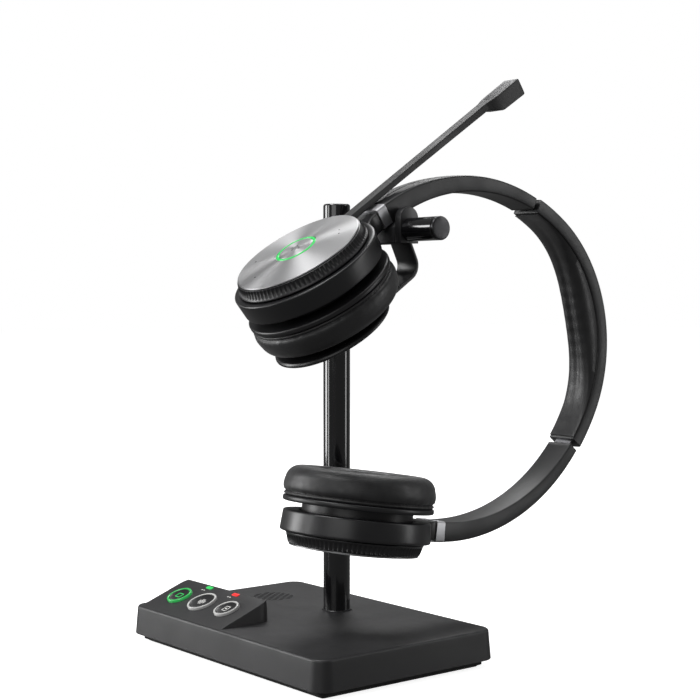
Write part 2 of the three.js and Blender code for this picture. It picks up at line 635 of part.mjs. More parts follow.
function buildEarSide(half, side) {
  const cup = cupGroup(half);
  const add = (name, geometry, finish) => addPiece(cup, `${name}_${side}`, geometry, finish);
  addPiece(half, `side_arm_${side}`, sideArm(), satinBlack());
  const slider = strip(STRIP_START, STRIP_STOP, STRIP_RADIUS, STRIP_THICKNESS, STRIP_WIDTH, 6);
  addPiece(half, `slider_strip_${side}`, slider, steel());
  addPiece(half, `clip_${side}`, clip(), brushedMetal());
  add('housing', housing(cup), satinBlack());
  add('ball_stud', ballStud(), steel());
  add('ball_bush', ballBush(), whitePlastic());
  add('neck', neck(), satinBlack());
  const plate = turned([
    [17, -PLATE_START], [PLATE_RADIUS - 0.6, -PLATE_START], [PLATE_RADIUS, -PLATE_START - 0.6],
    [PLATE_RADIUS, -PLATE_END + 0.6], [PLATE_RADIUS - 0.6, -PLATE_END], [17, -PLATE_END],
  ]);
  add('cushion_plate', plate, satinBlack());
  add('ear_cushion', earCushion(), blackLeather());
  const driver = turned([[0, -23.4], [16.2, -23.4], [16.2, -21], [12, -19], [0, -19]], MEDIUM);
  add('driver', driver, satinBlack());
  add('scrim', rod(16.5, -24.5, -24, 0, 0, MEDIUM), blackCloth());
  return cup;
}

function buildUpperCup(cup) {
  const ring = cut(turned(ringProfile()), box(-3.4, 3.4, 26.9, 32, -5.1, 1));
  addPiece(cup, 'boom_ring', ring, satinBlack());
  addPiece(cup, 'disc_upper', turned(discProfile(WINDOW_OUTER + GAP)), brushedMetal());
  const windowTop = domeHeight(WINDOW_OUTER);
  const lightRing = turned([
    [WINDOW_INNER, -1], [11, -1], [11, -0.2], [WINDOW_OUTER, -0.2], [WINDOW_OUTER, windowTop],
    [WINDOW_INNER, windowTop + 0.05],
  ], MEDIUM);
  addPiece(cup, 'light_ring', lightRing, greenPlastic());
  const button = turned([
    [0, -3.8], [2, -3.8], [2, -1.4], [WINDOW_INNER - GAP, -1.4], [WINDOW_INNER - GAP, windowTop],
    [0, DISC_DOME],
  ], MEDIUM);
  addPiece(cup, 'call_button', button, brushedMetal());
  addPiece(cup, 'headset_circuit_board', rod(22, -6.2, -5, 0, 0, MEDIUM), boardGreen());
  buildBoom(cup);
}

function buildLowerCup(cup) {
  addPiece(cup, 'trim_ring', turned(ringProfile()), satinBlack());
  addPiece(cup, 'disc_lower', turned(discProfile(0)), brushedMetal());
  addPiece(cup, 'battery', rod(15, -6.6, -2, 0, 0, MEDIUM), mattGrey());
}

// ---------------------------------------------------------------- microphone boom

function buildBoom(cup) {
  const bar = sideways(shapeOf([
    [BOOM_ROOT, -BOOM_TOP], [HEAD_START, -BOOM_TOP], [HEAD_START, -5.2], [65, -4.6], [BOOM_ROOT, -4.6],
  ]), -BOOM_WIDTH / 2, BOOM_WIDTH / 2, 0.4);
  const headSide = sideways(shapeOf([
    [HEAD_START - 2, -BOOM_TOP], [HEAD_END, -BOOM_TOP], [HEAD_END - 1.2, -HEAD_UNDERSIDE],
    [HEAD_START + 7, -HEAD_UNDERSIDE + 0.4], [HEAD_START, -5], [HEAD_START - 2, -5],
  ]), -8, 8);
  const half = HEAD_WIDTH / 2;
  const headPlan = upright(shapeOf([
    [-2.9, HEAD_START - 2], [2.9, HEAD_START - 2], [4, HEAD_START + 2], [half, HEAD_START + 5],
    ...arc(half - 3, HEAD_END - 3, 3, 0, 90, 4), ...arc(3 - half, HEAD_END - 3, 3, 90, 180, 4),
    [-half, HEAD_START + 5], [-4, HEAD_START + 2],
  ]), -10, 2);
  const grillePlan = (halfWidth, halfLength) =>
    roundedRectangle(
      -halfWidth, halfWidth, HEAD_MIDDLE - halfLength, HEAD_MIDDLE + halfLength, halfWidth - 0.1);
  const recess = upright(grillePlan(3.9, 9.4), -BOOM_TOP - 1.1, 1);
  const capsuleHole = rod(2.6, -BOOM_TOP - 5.6, -BOOM_TOP, 0, CAPSULE);
  const body = cut(join(bar, common(headSide, headPlan)), recess, capsuleHole);
  addPiece(cup, 'boom_bar', body, satinBlack());
  addPiece(cup, 'mic_grille', upright(grillePlan(3.6, 9.1), -BOOM_TOP - 0.8, -BOOM_TOP + 0.1), mattGrey());
  addPiece(cup, 'mic_capsule', rod(2.2, -BOOM_TOP - 5.3, -BOOM_TOP - 1.2, 0, CAPSULE), steel());
}

// ---------------------------------------------------------------- charging bracket and pad

// The bracket is a stop plate on the arm, a flange under the saddle, a ribbon bent back
// on itself and a round tray.
function buildChargingPad(cup) {
  cup.updateWorldMatrix(true, false);
  const toCup = cup.matrixWorld.clone().invert();
  const bendMiddle = RIBBON_BEND - PAD_UNDERSIDE;
  const inner = RIBBON_BEND - RIBBON_THICKNESS;
  const top = 8.5; // length of the ribbon above its bend
  const rise = -8.7; // angle in degrees at which the bend runs into the ribbon
  const lean = THREE.MathUtils.degToRad(rise + 90);
  const end = (radius) => {
    const [[y, z]] = arc(BEND_CENTRE, bendMiddle, radius, rise, rise, 1);
    return [y + top * Math.cos(lean), z + top * Math.sin(lean)];
  };
  const ribbon = sideways(shapeOf([
    [20, -PAD_UNDERSIDE], ...arc(BEND_CENTRE, bendMiddle, RIBBON_BEND, -90, rise, 10), end(RIBBON_BEND),
    end(inner), ...arc(BEND_CENTRE, bendMiddle, inner, rise, -90, 10), [20, -TRAY_TOP],
  ]), RIBBON_LEFT - HEADSET_X, STOP_FACE - HEADSET_X);
  const tray = join(
    rod(PAD_RADIUS, -PAD_UNDERSIDE, -TRAY_TOP, 0, PAD_OFFSET, ROUND),
    rod(PAD_RADIUS - 0.6, -PAD_UNDERSIDE, -PAD_FACE, 0, PAD_OFFSET, ROUND));
  const recess = rod(COVER_RADIUS + GAP, -PAD_UNDERSIDE + 0.7, -PAD_FACE + 1, 0, PAD_OFFSET, MEDIUM);
  const stop = sideways(roundStop(), STOP_FACE - STOP_THICKNESS, STOP_FACE);
  const plate = cut(stop, rodX(ARM.core + GAP, 30, 60, POST.y, ARM.height));
  const flange = box(RIBBON_LEFT, STOP_FACE, SADDLE.front, SADDLE.back, SADDLE.bottom, FLANGE_TOP);
  const bracket = cut(join(ribbon, tray, join(plate, flange).applyMatrix4(toCup)), recess);
  addPiece(cup, 'charging_bracket', bracket, satinBlack());

  const foot = -PAD_UNDERSIDE + 1.0;
  const cover = turned([
    [COVER_RADIUS, foot], [COVER_RADIUS, -34], [COVER_RADIUS - 1, -33], [0, -32.6], [0, -33.6],
    [COVER_RADIUS - 1.4, -34], [COVER_RADIUS - 1.4, foot],
  ], MEDIUM);
  addPiece(cup, 'charging_pad_cover', cover.translate(0, PAD_OFFSET, 0), satinBlack());
  const coil = turned([[5, -37.4], [9.6, -37.4], [9.6, -34.8], [5, -34.8]], MEDIUM);
  addPiece(cup, 'charging_coil', coil.translate(0, PAD_OFFSET, 0), copper());
}

// The stop plate's outline in Y and Z: upright sides and a round top.
const roundStop = () =>
  shapeOf([
    [SADDLE.front, SADDLE.bottom], [SADDLE.back, SADDLE.bottom],
    ...arc(POST.y, 194.9, ARM.radius, 0, 180, 12),
  ]);

// ---------------------------------------------------------------- assembly

buildBase();
buildStand();
buildCrown();

const upperHalf = new THREE.Group();
bandFrame.add(upperHalf);
const lowerHalf = new THREE.Group();
lowerHalf.rotation.y = Math.PI;
bandFrame.add(lowerHalf);

const upperCup = buildEarSide(upperHalf, 'upper');
buildUpperCup(upperCup);
const lowerCup = buildEarSide(lowerHalf, 'lower');
buildLowerCup(lowerCup);
buildChargingPad(upperCup);

export default headset;
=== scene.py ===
"""Looks for the office headset on its charging base.

Sizes in the builders are millimetres, and objects are in metres.
"""

import json
import math

import bmesh
import bpy
from mathutils import Matrix, Vector


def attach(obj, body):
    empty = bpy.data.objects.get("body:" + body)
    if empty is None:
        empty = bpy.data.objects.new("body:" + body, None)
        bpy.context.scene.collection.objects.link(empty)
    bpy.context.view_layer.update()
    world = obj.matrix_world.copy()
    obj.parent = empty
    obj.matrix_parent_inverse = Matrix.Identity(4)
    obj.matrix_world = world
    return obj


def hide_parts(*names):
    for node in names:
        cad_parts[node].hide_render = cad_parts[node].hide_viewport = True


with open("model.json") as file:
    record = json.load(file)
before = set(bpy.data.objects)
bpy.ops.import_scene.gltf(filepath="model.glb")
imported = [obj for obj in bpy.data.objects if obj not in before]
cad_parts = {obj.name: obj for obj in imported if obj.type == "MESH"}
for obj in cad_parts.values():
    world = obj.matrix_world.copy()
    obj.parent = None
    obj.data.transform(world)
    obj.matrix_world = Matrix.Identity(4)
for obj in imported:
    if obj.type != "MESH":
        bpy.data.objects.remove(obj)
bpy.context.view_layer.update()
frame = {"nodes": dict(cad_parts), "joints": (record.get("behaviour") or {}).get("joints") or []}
MM = 0.001
JOINTS = {joint["name"]: joint for joint in frame["joints"]}

# ------------------------------------------------------------------ frames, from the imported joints


def axes_frame(origin, x_axis, y_axis, z_axis):
    """A 4x4 matrix with these columns."""
    columns = [Vector(x_axis), Vector(y_axis), Vector(z_axis), Vector(origin)]
    matrix = Matrix.Identity(4)
    for index, column in enumerate(columns):
        for row in range(3):
            matrix[row][index] = column[row]
    return matrix


def upper_cup_frame():
    """Origin at the middle of the outer disc, y towards the band, z outwards."""
    outwards = Vector(JOINTS["boom_turn"]["axis"])
    along = Vector(JOINTS["upper_ear_swivel"]["axis"])
    return axes_frame(JOINTS["boom_turn"]["pos_m"], along.cross(outwards), along, outwards)


BALL_DEPTH = 15.5  # from the outer disc to the ball stud's centre


def lower_cup_frame():
    """The same for the lower cup, which is the upper one turned half round."""
    along = Vector(JOINTS["lower_ear_swivel"]["axis"])
    sideways = Vector((-1, 0, 0))
    outwards = sideways.cross(along)
    pivot = Vector(JOINTS["lower_ear_tilt"]["pos_m"])
    return axes_frame(pivot + outwards * BALL_DEPTH * MM, sideways, along, outwards)


SIDE_DEPTH = 95.03  # from the crown point to the side arcs' centres
SIDE_OFFSET = 19.39


def band_frame():
    """Origin at the crown point, y towards the crown, z towards the upper ear cup."""
    upper = Vector(JOINTS["upper_extension"]["pos_m"])
    lower = Vector(JOINTS["lower_extension"]["pos_m"])
    up = (lower - upper).normalized()
    crown = up.cross(Vector((1, 0, 0)))
    return axes_frame((upper + lower) / 2 + crown * SIDE_DEPTH * MM, (1, 0, 0), crown, up)


UPPER_CUP = upper_cup_frame()
LOWER_CUP = lower_cup_frame()
BAND = band_frame()
LOWER_BAND = BAND @ Matrix.Rotation(math.pi, 4, "Y")
WORLD = Matrix.Identity(4)

# ------------------------------------------------------------------ mesh helpers


def piece(name, verts, faces, place, finish, body, slot, replaces=(), sharp=35):
    """One mesh object from millimetre points in a local frame; it rides on a body."""
    mesh = bpy.data.meshes.new(name)
    mesh.from_pydata([Vector(point) * MM for point in verts], [], faces)
    work = bmesh.new()
    work.from_mesh(mesh)
    bmesh.ops.remove_doubles(work, verts=work.verts, dist=1e-7)
    bmesh.ops.recalc_face_normals(work, faces=work.faces)
    work.to_mesh(mesh)
    work.free()
    return dress(bpy.data.objects.new(name, mesh), place, finish, body, replaces, sharp)


def dress(obj, place, finish, body, replaces=(), sharp=35):
    """Links an object, places it, shades it and ties it to its body."""
    if obj.name not in bpy.context.scene.collection.objects:
        bpy.context.scene.collection.objects.link(obj)
    obj.matrix_world = place
    obj.data.materials.clear()
    obj.data.materials.append(finish)
    obj.data.shade_smooth()
    obj.data.set_sharp_from_angle(angle=math.radians(sharp))
    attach(obj, body)
    if replaces:
        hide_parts(*replaces)
    return obj


def lathe_data(profile, segments=128, radius_at=None):
    """Points and faces of a body of revolution about z; a profile off the axis closes on itself."""
    on_axis = profile[0][0] < 1e-6 and profile[-1][0] < 1e-6
    verts = []
    for step in range(segments):
        angle = 2 * math.pi * step / segments
        for radius, height in profile:
            r = radius_at(radius, height, angle) if radius_at else radius
            verts.append((r * math.cos(angle), r * math.sin(angle), height))
    count = len(profile)
    spans = count - 1 if on_axis else count
    faces = []
    for step in range(segments):
        here, there = step * count, ((step + 1) % segments) * count
        for index in range(spans):
            after = (index + 1) % count
            faces.append((here + index, there + index, there + after, here + after))
    return verts, faces


def arc(cx, cy, radius, start, stop, steps):
    """Points of an arc, angles in degrees."""
    angles = [math.radians(start + (stop - start) * i / steps) for i in range(steps + 1)]
    return [(cx + radius * math.cos(a), cy + radius * math.sin(a)) for a in angles]


def rounded(points, radius, steps=4):
    """An outline with each corner replaced by an arc-like curve; each point may carry its own radius."""
    result = []
    count = len(points)
    for index, point in enumerate(points):
        own = point[2] if len(point) > 2 else radius
        corner = Vector(point[:2])
        before = Vector(points[index - 1][:2]) - corner
        after = Vector(points[(index + 1) % count][:2]) - corner
        if own <= 0:
            result.append(tuple(corner))
            continue
        reach = min(own, before.length * 0.48, after.length * 0.48)
        start = corner + before.normalized() * reach
        end = corner + after.normalized() * reach
        for step in range(steps + 1):
            t = step / steps
            result.append(tuple(start * (1 - t) ** 2 + corner * 2 * t * (1 - t) + end * t**2))
    return result


def prism_data(outline, low, high, edge=0.0, steps=3, plane="xy"):
    """An outline extruded from low to high with rounded edges; plane yz extrudes along x."""
    count = len(outline)
    if edge:
        rings = [(low + edge * (1 - math.sin(a)), edge * (1 - math.cos(a)))
                 for a in (math.pi / 2 * (1 - i / steps) for i in range(steps + 1))]
        rings += [(high - (z - low), inset) for z, inset in reversed(rings)]
    else:
        rings = [(low, 0.0), (high, 0.0)]
    normals = []
    turn = sum(outline[i - 1][0] * outline[i][1] - outline[i][0] * outline[i - 1][1] for i in range(count))
    for index in range(count):
        along = Vector(outline[(index + 1) % count][:2]) - Vector(outline[index - 1][:2])
        along.normalize()
        normals.append(Vector((along.y, -along.x)) * (1 if turn > 0 else -1))
    verts = []
    for height, inset in rings:
        for point, normal in zip(outline, normals):
            x, y = Vector(point[:2]) - normal * inset
            verts.append((x, y, height) if plane == "xy" else (height, x, y))
    faces = [tuple(reversed(range(count))), tuple(range((len(rings) - 1) * count, len(rings) * count))]
    for ring in range(len(rings) - 1):
        for index in range(count):
            after = (index + 1) % count
            base = ring * count
            faces.append((base + index, base + after, base + count + after, base + count + index))
    return verts, faces


def merge(*parts):
    """Several (verts, faces) in one."""
    verts, faces = [], []
    for part_verts, part_faces in parts:
        start = len(verts)
        verts += list(part_verts)
        faces += [tuple(index + start for index in face) for face in part_faces]
    return verts, faces


def moved(data, matrix):
    """Points moved by a millimetre matrix."""
    return [tuple(matrix @ Vector(point)) for point in data[0]], data[1]


def block(half_x, low, high):
    """A rectangle's corners, centred in x."""
    return [(-half_x, low), (half_x, low), (half_x, high), (-half_x, high)]


def grid_loft(loops):
    """Skins equal closed loops of points, with end caps."""
    count = len(loops[0])
    verts = [point for loop in loops for point in loop]
    faces = []
    for ring in range(len(loops) - 1):
        for index in range(count):
            after = (index + 1) % count
            base = ring * count
            faces.append((base + index, base + after, base + count + after, base + count + index))
    faces += [tuple(reversed(range(count))), tuple(range((len(loops) - 1) * count, len(loops) * count))]
    return verts, faces


# ------------------------------------------------------------------ materials


class Finish:
    """A Principled material built up from a few procedural layers."""

    def __init__(self, name, colour, roughness, metallic=0.0):
        self.material = bpy.data.materials.new(name)
        self.material.use_nodes = True
        self.nodes = self.material.node_tree.nodes
        self.links = self.material.node_tree.links
        self.shader = self.nodes["Principled BSDF"]
        self.colour = (*colour, 1)
        self.shader.inputs["Base Color"].default_value = self.colour
        self.shader.inputs["Roughness"].default_value = roughness
        self.shader.inputs["Metallic"].default_value = metallic
        self.roughness = roughness
        self.height = None
        self.place = self.nodes.new("ShaderNodeTexCoord").outputs["Object"]

    def noise(self, scale, detail=3.0, stretch=(1, 1, 1)):
        """A noise value over the piece; scale is in repeats per metre."""
        mapping = self.nodes.new("ShaderNodeMapping")
        mapping.inputs["Scale"].default_value = stretch
        self.links.new(self.place, mapping.inputs["Vector"])
        texture = self.nodes.new("ShaderNodeTexNoise")
        texture.inputs["Scale"].default_value = scale
        texture.inputs["Detail"].default_value = detail
        self.links.new(mapping.outputs["Vector"], texture.inputs["Vector"])
        return texture.outputs["Fac"]

    def cells(self, scale, feature="F1"):
        texture = self.nodes.new("ShaderNodeTexVoronoi")
        texture.feature = feature
        texture.inputs["Scale"].default_value = scale
        self.links.new(self.place, texture.inputs["Vector"])
        return texture.outputs["Distance"]

    def ranged(self, value, low, high, start=0.3, stop=0.7):
        node = self.nodes.new("ShaderNodeMapRange")
        for name, number in (("From Min", start), ("From Max", stop), ("To Min", low), ("To Max", high)):
            node.inputs[name].default_value = number
        self.links.new(value, node.inputs["Value"])
        return node.outputs["Result"]

    def vary_roughness(self, value, amount):
        spread = self.ranged(value, max(self.roughness - amount, 0.02), min(self.roughness + amount, 1))
        self.links.new(spread, self.shader.inputs["Roughness"])
        return self

    def vary_colour(self, value, other, start=0.3, stop=0.7):
        node = self.nodes.new("ShaderNodeMix")
        node.data_type = "RGBA"
        node.inputs["A"].default_value = self.colour
        node.inputs["B"].default_value = (*other, 1)
        self.links.new(self.ranged(value, 0, 1, start, stop), node.inputs["Factor"])
        self.links.new(node.outputs["Result"], self.shader.inputs["Base Color"])
        return self

    def bump(self, value, strength, distance):
        node = self.nodes.new("ShaderNodeBump")
        node.inputs["Strength"].default_value = strength
        node.inputs["Distance"].default_value = distance
        self.links.new(value, node.inputs["Height"])
        if self.height is not None:
            self.links.new(self.height, node.inputs["Normal"])
        self.height = node.outputs["Normal"]
        self.links.new(self.height, self.shader.inputs["Normal"])
        return self

    def setting(self, name, value):
        self.shader.inputs[name].default_value = value
        return self


def moulded(name, colour, roughness, grain=0.25, lighter=1.5):
    """Moulded plastic: fine spark-eroded grain, slight colour and gloss variation from handling."""
    finish = Finish(name, colour, roughness)
    finish.vary_colour(finish.noise(35, 4), [c * lighter for c in colour])
    finish.vary_roughness(finish.noise(60, 5), 0.06)
    finish.bump(finish.noise(4200, 2), grain, 0.00004)
    finish.bump(finish.cells(2600), grain * 0.6, 0.00003)
    return finish.material


def gloss(name, colour, roughness=0.12):
    finish = Finish(name, colour, roughness)
    finish.vary_roughness(finish.noise(90, 6), 0.05)
    finish.vary_colour(finish.noise(25, 3), [c * 1.6 for c in colour])
    finish.bump(finish.noise(140, 2), 0.04, 0.00005)
    return finish.setting("Coat Weight", 0.6).setting("Coat Roughness", 0.06).material


def leather(name):
    """Soft black leatherette: pebbled cells with fine creases, a little sheen."""
    finish = Finish(name, (0.011, 0.011, 0.0115), 0.46)
    finish.vary_colour(finish.noise(130, 5), (0.018, 0.018, 0.019))
    finish.vary_roughness(finish.noise(240, 5), 0.09)
    finish.bump(finish.cells(1150, "DISTANCE_TO_EDGE"), 0.35, 0.00012)
    finish.bump(finish.noise(90, 5, (1, 1, 2.5)), 0.16, 0.0004)
    finish.setting("Sheen Weight", 0.12).setting("Sheen Roughness", 0.4)
    return finish.material


def turned_metal(name, colour, roughness):
    """Lathe-turned metal: fine concentric lines about the piece's z axis, with a spun highlight."""
    finish = Finish(name, colour, roughness, 1.0)
    rings = finish.nodes.new("ShaderNodeTexWave")
    rings.wave_type = "RINGS"
    rings.rings_direction = "Z"
    for socket, number in (("Scale", 900), ("Distortion", 3.0), ("Detail", 3.0), ("Detail Scale", 0.05)):
        rings.inputs[socket].default_value = number
    finish.links.new(finish.place, rings.inputs["Vector"])
    finish.bump(rings.outputs["Fac"], 0.12, 0.00004)
    finish.vary_roughness(rings.outputs["Fac"], 0.05)
    tangent = finish.nodes.new("ShaderNodeTangent")
    tangent.direction_type = "RADIAL"
    tangent.axis = "Z"
    finish.links.new(tangent.outputs["Tangent"], finish.shader.inputs["Tangent"])
    finish.setting("Anisotropic Rotation", 0.25)
    return finish.setting("Anisotropic", 0.8).material


def plain_metal(name, colour, roughness=0.3):
    finish = Finish(name, colour, roughness, 1.0)
    finish.vary_roughness(finish.noise(700, 4, (1, 12, 1)), 0.08)
    finish.bump(finish.noise(900, 3, (1, 14, 1)), 0.08, 0.00005)
    return finish.material


def lit_plastic(name, colour, glow):
    """A translucent coloured window over a small lamp."""
    finish = Finish(name, colour, 0.3)
    finish.vary_colour(finish.noise(500, 3), [c * 0.75 for c in colour])
    finish.vary_roughness(finish.noise(300, 4), 0.06)
    finish.setting("Emission Color", (*colour, 1)).setting("Emission Strength", glow)
    return finish.setting("Coat Weight", 0.3).material


def woven(name, colour):
    """Acoustic cloth: crossed fine threads."""
    finish = Finish(name, colour, 0.9)
    for direction in ("X", "Y"):
        wave = finish.nodes.new("ShaderNodeTexWave")
        wave.bands_direction = direction
        wave.inputs["Scale"].default_value = 900
        wave.inputs["Distortion"].default_value = 0.6
        finish.links.new(finish.place, wave.inputs["Vector"])
        finish.bump(wave.outputs["Fac"], 0.5, 0.00012)
    finish.vary_colour(finish.noise(1500, 2), [c * 2 for c in colour])
    return finish.material


CASING = moulded("casing_plastic", (0.016, 0.016, 0.017), 0.46, 0.2, 1.2)
SATIN = moulded("satin_black", (0.008, 0.008, 0.0088), 0.36, 0.1)
BAND_BLACK = moulded("band_black", (0.009, 0.009, 0.0098), 0.42, 0.12)
BOOM_BLACK = moulded("boom_black", (0.0045, 0.0045, 0.005), 0.5, 0.03)
MATT = moulded("matt_grey", (0.014, 0.014, 0.0155), 0.55, 0.2)
GLOSS = gloss("gloss_black", (0.004, 0.004, 0.0045))
RUBBER = moulded("rubber", (0.006, 0.006, 0.006), 0.8, 0.6)
LEATHER = leather("leatherette")
DISC_METAL = turned_metal("turned_disc", (0.42, 0.42, 0.425), 0.52)
CAP_METAL = turned_metal("spun_cap", (0.055, 0.055, 0.057), 0.3)
CLIP_METAL = plain_metal("clip_metal", (0.52, 0.52, 0.535), 0.48)
MESH_METAL = plain_metal("mesh_metal", (0.10, 0.10, 0.103), 0.5)
STEEL = plain_metal("steel", (0.42, 0.42, 0.44))
COPPER = plain_metal("wound_copper", (0.6, 0.25, 0.12), 0.35)
GREEN = lit_plastic("green_window", (0.02, 0.42, 0.08), 0.9)
GREEN_RING = lit_plastic("green_ring", (0.03, 0.45, 0.09), 0.35)
RED = lit_plastic("red_window", (0.7, 0.02, 0.02), 0.8)
WHITE_RING = moulded("white_ring", (0.55, 0.55, 0.54), 0.3, 0.1, 0.9)
ICON = lit_plastic("icon_white", (0.7, 0.7, 0.68), 0.15)
BOARD = moulded("circuit_board", (0.02, 0.12, 0.05), 0.5, 0.3)
CLOTH = woven("acoustic_cloth", (0.008, 0.008, 0.009))

# ------------------------------------------------------------------ ear cups

DISC_RADIUS = 28.3
DISC_DOME = 1.7
LIGHT_INNER = 8.1
LIGHT_OUTER = 9.2
HOUSING_RADIUS = 32.9
BLOCK_END = 40.44
CUSHION_TOP = -21.45
CUSHION_FACE = -34.2
EAR_HOLLOW = 17.5
TEETH = 90
TOOTH_STEPS = 8
TOOTH_DEPTH = 0.6


def dome(radius):
    return DISC_DOME * (1 - (radius / DISC_RADIUS) ** 2)


def disc_profile(inner):
    """Top of the domed disc with a rolled edge, and a flat back."""
    steps = 14
    reach = DISC_RADIUS - 0.5
    radii = [inner + (reach - inner) * i / steps for i in range(steps + 1)]
    top = [(radius, dome(radius)) for radius in radii]
    back = [(DISC_RADIUS - 0.12, 0.0), (DISC_RADIUS, -0.15), (DISC_RADIUS, -0.5), (26.1, -0.55), (26.1, -6.0),
            (24.5, -6.0), (24.5, -0.8)]
    if inner > 0:
        return [(inner, dome(inner) - 1.2), (inner, dome(inner) - 0.12)] + top[1:] + back
    return top + back + [(0, 0.6)]


def knurl(radius, height, angle):
    """Fine axial ribs round the upper part of the ring."""
    band = max(0.0, min(1.0, (-1.0 - height) / 0.3)) * max(0.0, min(1.0, (height + 4.6) / 0.3))
    if radius < 27:
        return radius
    phase = (angle * TEETH / (2 * math.pi)) % 1
    from_rib = min(phase, 1 - phase)
    return radius - TOOTH_DEPTH * band * (1 - math.exp(-((from_rib / 0.2) ** 2)))


RING_PROFILE = [
    (26.5, -0.8), (28.55, -0.8), (28.75, -0.92), (28.85, -1.1), (28.95, -1.4), (29.8, -4.3), (29.88, -4.6),
    (29.95, -4.8), (30.1, -4.95), (30.2, -5.12), (30.15, -5.4), (29.7, -5.6), (28.9, -5.7), (28.9, -8.5),
    (26.5, -8.5),
]

HOUSING_PROFILE = [
    (29.9, -8.8), (29.9, -6.3), (30.0, -6.12), (30.2, -6.02), (32.1, -6.0), (32.5, -6.08), (32.8, -6.35),
    (32.9, -6.7), (32.86, -7.4), (32.3, -14.2), (32.2, -14.7), (31.9, -15.05), (31.4, -15.2), (26.0, -15.2),
    (25.7, -15.1), (25.6, -14.8), (25.6, -13.2), (29.6, -13.2), (29.6, -10.4), (2.3, -10.4), (2.3, -8.8),
]

NECK_PROFILE = [(24.3, -12.9), (24.3, -18.45), (22.8, -18.45), (22.8, -14.1), (2.3, -14.1), (2.3, -12.9)]

PLATE_PROFILE = [
    (17, -18.8), (32.2, -18.8), (32.7, -18.95), (33.0, -19.4), (33.0, -20.6), (32.7, -21.05), (32.2, -21.2),
    (17, -21.2),
]


def yoke_block():
    """The block that joins the housing to its clip, waisted towards the clip."""
    inner = math.sqrt(HOUSING_RADIUS**2 - 13.5**2) - 2.6
    plan = [(13.5, inner), (12.2, 30.9), (9.6, 33.2), (8.1, 35.6), (7.55, 38), (7.5, BLOCK_END)]
    outline = rounded([(x, y, 1.2) for x, y in plan] + [(-x, y, 1.2) for x, y in reversed(plan)], 1.2, 4)
    outline = [(x, min(y, BLOCK_END)) for x, y in outline]
    return prism_data(outline, -14.8, -6.65, 0.9, 4)


def cushion_shape():
    """Padded ring, fullest at its outer shoulder, with a sewn seam and faint puckers."""
    outer, inner = 32.7, EAR_HOLLOW
    profile = [(inner + 0.5, CUSHION_TOP), (outer - 0.8, CUSHION_TOP), (outer - 0.15, CUSHION_TOP - 0.25)]
    profile += [(outer + 0.1, -22.1), (outer - 0.25, -22.55), (outer - 0.75, -22.85), (outer - 0.8, -23.05)]
    profile += [(outer - 0.35, -23.35), (outer + 0.25, -23.9), (outer + 0.5, -24.9), (outer + 0.6, -26.2)]
    profile += [(outer + 0.35, -27.8)]
    profile += arc(outer - 6.2, -28.0, 6.3, -8, -84, 12)
    profile += [(25.0, CUSHION_FACE + 0.05), (23.3, CUSHION_FACE + 0.15)]
    profile += arc(inner + 4.4, -29.9, 4.3, -100, -180, 9)
    profile += [(inner, -27.5), (inner + 0.1, -24.5)]

    def puckered(radius, height, angle):
        near_seam = math.exp(-(((height + 23.2) / 1.6) ** 2)) if radius > 28 else 0.0
        ripple = math.sin(angle * 53) * 0.5 + math.sin(angle * 31 + 1.3) * 0.5
        on_face = math.exp(-(((height + 33) / 2.5) ** 2))
        swell = 0.10 * math.sin(angle * 3 + 0.7) + 0.05 * math.sin(angle * 7 + 2.1)
        return radius + near_seam * ripple * 0.14 + on_face * swell

    return lathe_data(profile, 256, puckered)


def seam_stitches(radius, height, count, length=1.0, thickness=0.22):
    """Small thread stitches laid round a circle."""
    parts = []
    for index in range(count):
        angle = 2 * math.pi * index / count
        outline = arc(0, 0, 0.5, 0, 360, 6)[:-1]
        stitch = prism_data([(x * length, y * thickness * 2) for x, y in outline], -0.08, 0.1, 0.05, 1)
        turn = Matrix.Rotation(angle, 4, "Z") @ Matrix.Translation((radius, 0, height))
        turn = turn @ Matrix.Rotation(math.pi / 2, 4, "Y") @ Matrix.Rotation(math.pi / 2, 4, "Z")
        parts.append(moved(stitch, turn))
    return merge(*parts)


def build_ear(side, place):
    arm_body, ear_body = f"{side}_arm", f"{side}_ear"
    housing = merge(lathe_data(HOUSING_PROFILE, 144), yoke_block())
    piece(f"{side}_housing_shell", *housing, place, SATIN, arm_body, "satin_black", [f"housing_{side}"], 40)
    piece(f"{side}_neck_skirt", *lathe_data(NECK_PROFILE, 96), place, SATIN, ear_body, "satin_black",
          [f"neck_{side}"])
    piece(f"{side}_cushion_rim", *lathe_data(PLATE_PROFILE, 144), place, SATIN, ear_body, "satin_black",
          [f"cushion_plate_{side}"], 50)
    cushion = piece(f"{side}_ear_pad", *cushion_shape(), place, LEATHER, ear_body, "leather",
                    [f"ear_cushion_{side}"], 80)
    piece(f"{side}_ear_pad_stitches", *seam_stitches(32.05, -22.95, 110), place, SATIN, ear_body, "leather")
    weave = lathe_data([(0, -24.0), (16.4, -24.0), (16.4, -24.5), (9, -24.75), (0, -24.85)], 96)
    piece(f"{side}_ear_cloth", *weave, place, CLOTH, ear_body, "cloth", [f"scrim_{side}"])


def painted_port_shade():
    """Small dark dots laid on the disc, painted shade standing in for the insides of tiny microphone ports:
    (x, y) in the cup's frame.
    """
    parts = []
    for x, y in ((-19.5, -8.5), (13.6, 14.5), (16.4, 11.6), (-6.0, -20.5)):
        radius = math.hypot(x, y)
        # Each dark dot is painted shade where a port's hole would be.
        port = lathe_data([(0, -0.2), (0.38, -0.2), (0.38, 0.05), (0.3, 0.07), (0, 0.03)], 16)
        parts.append(moved(port, Matrix.Translation((x, y, dome(radius)))))
    return merge(*parts)


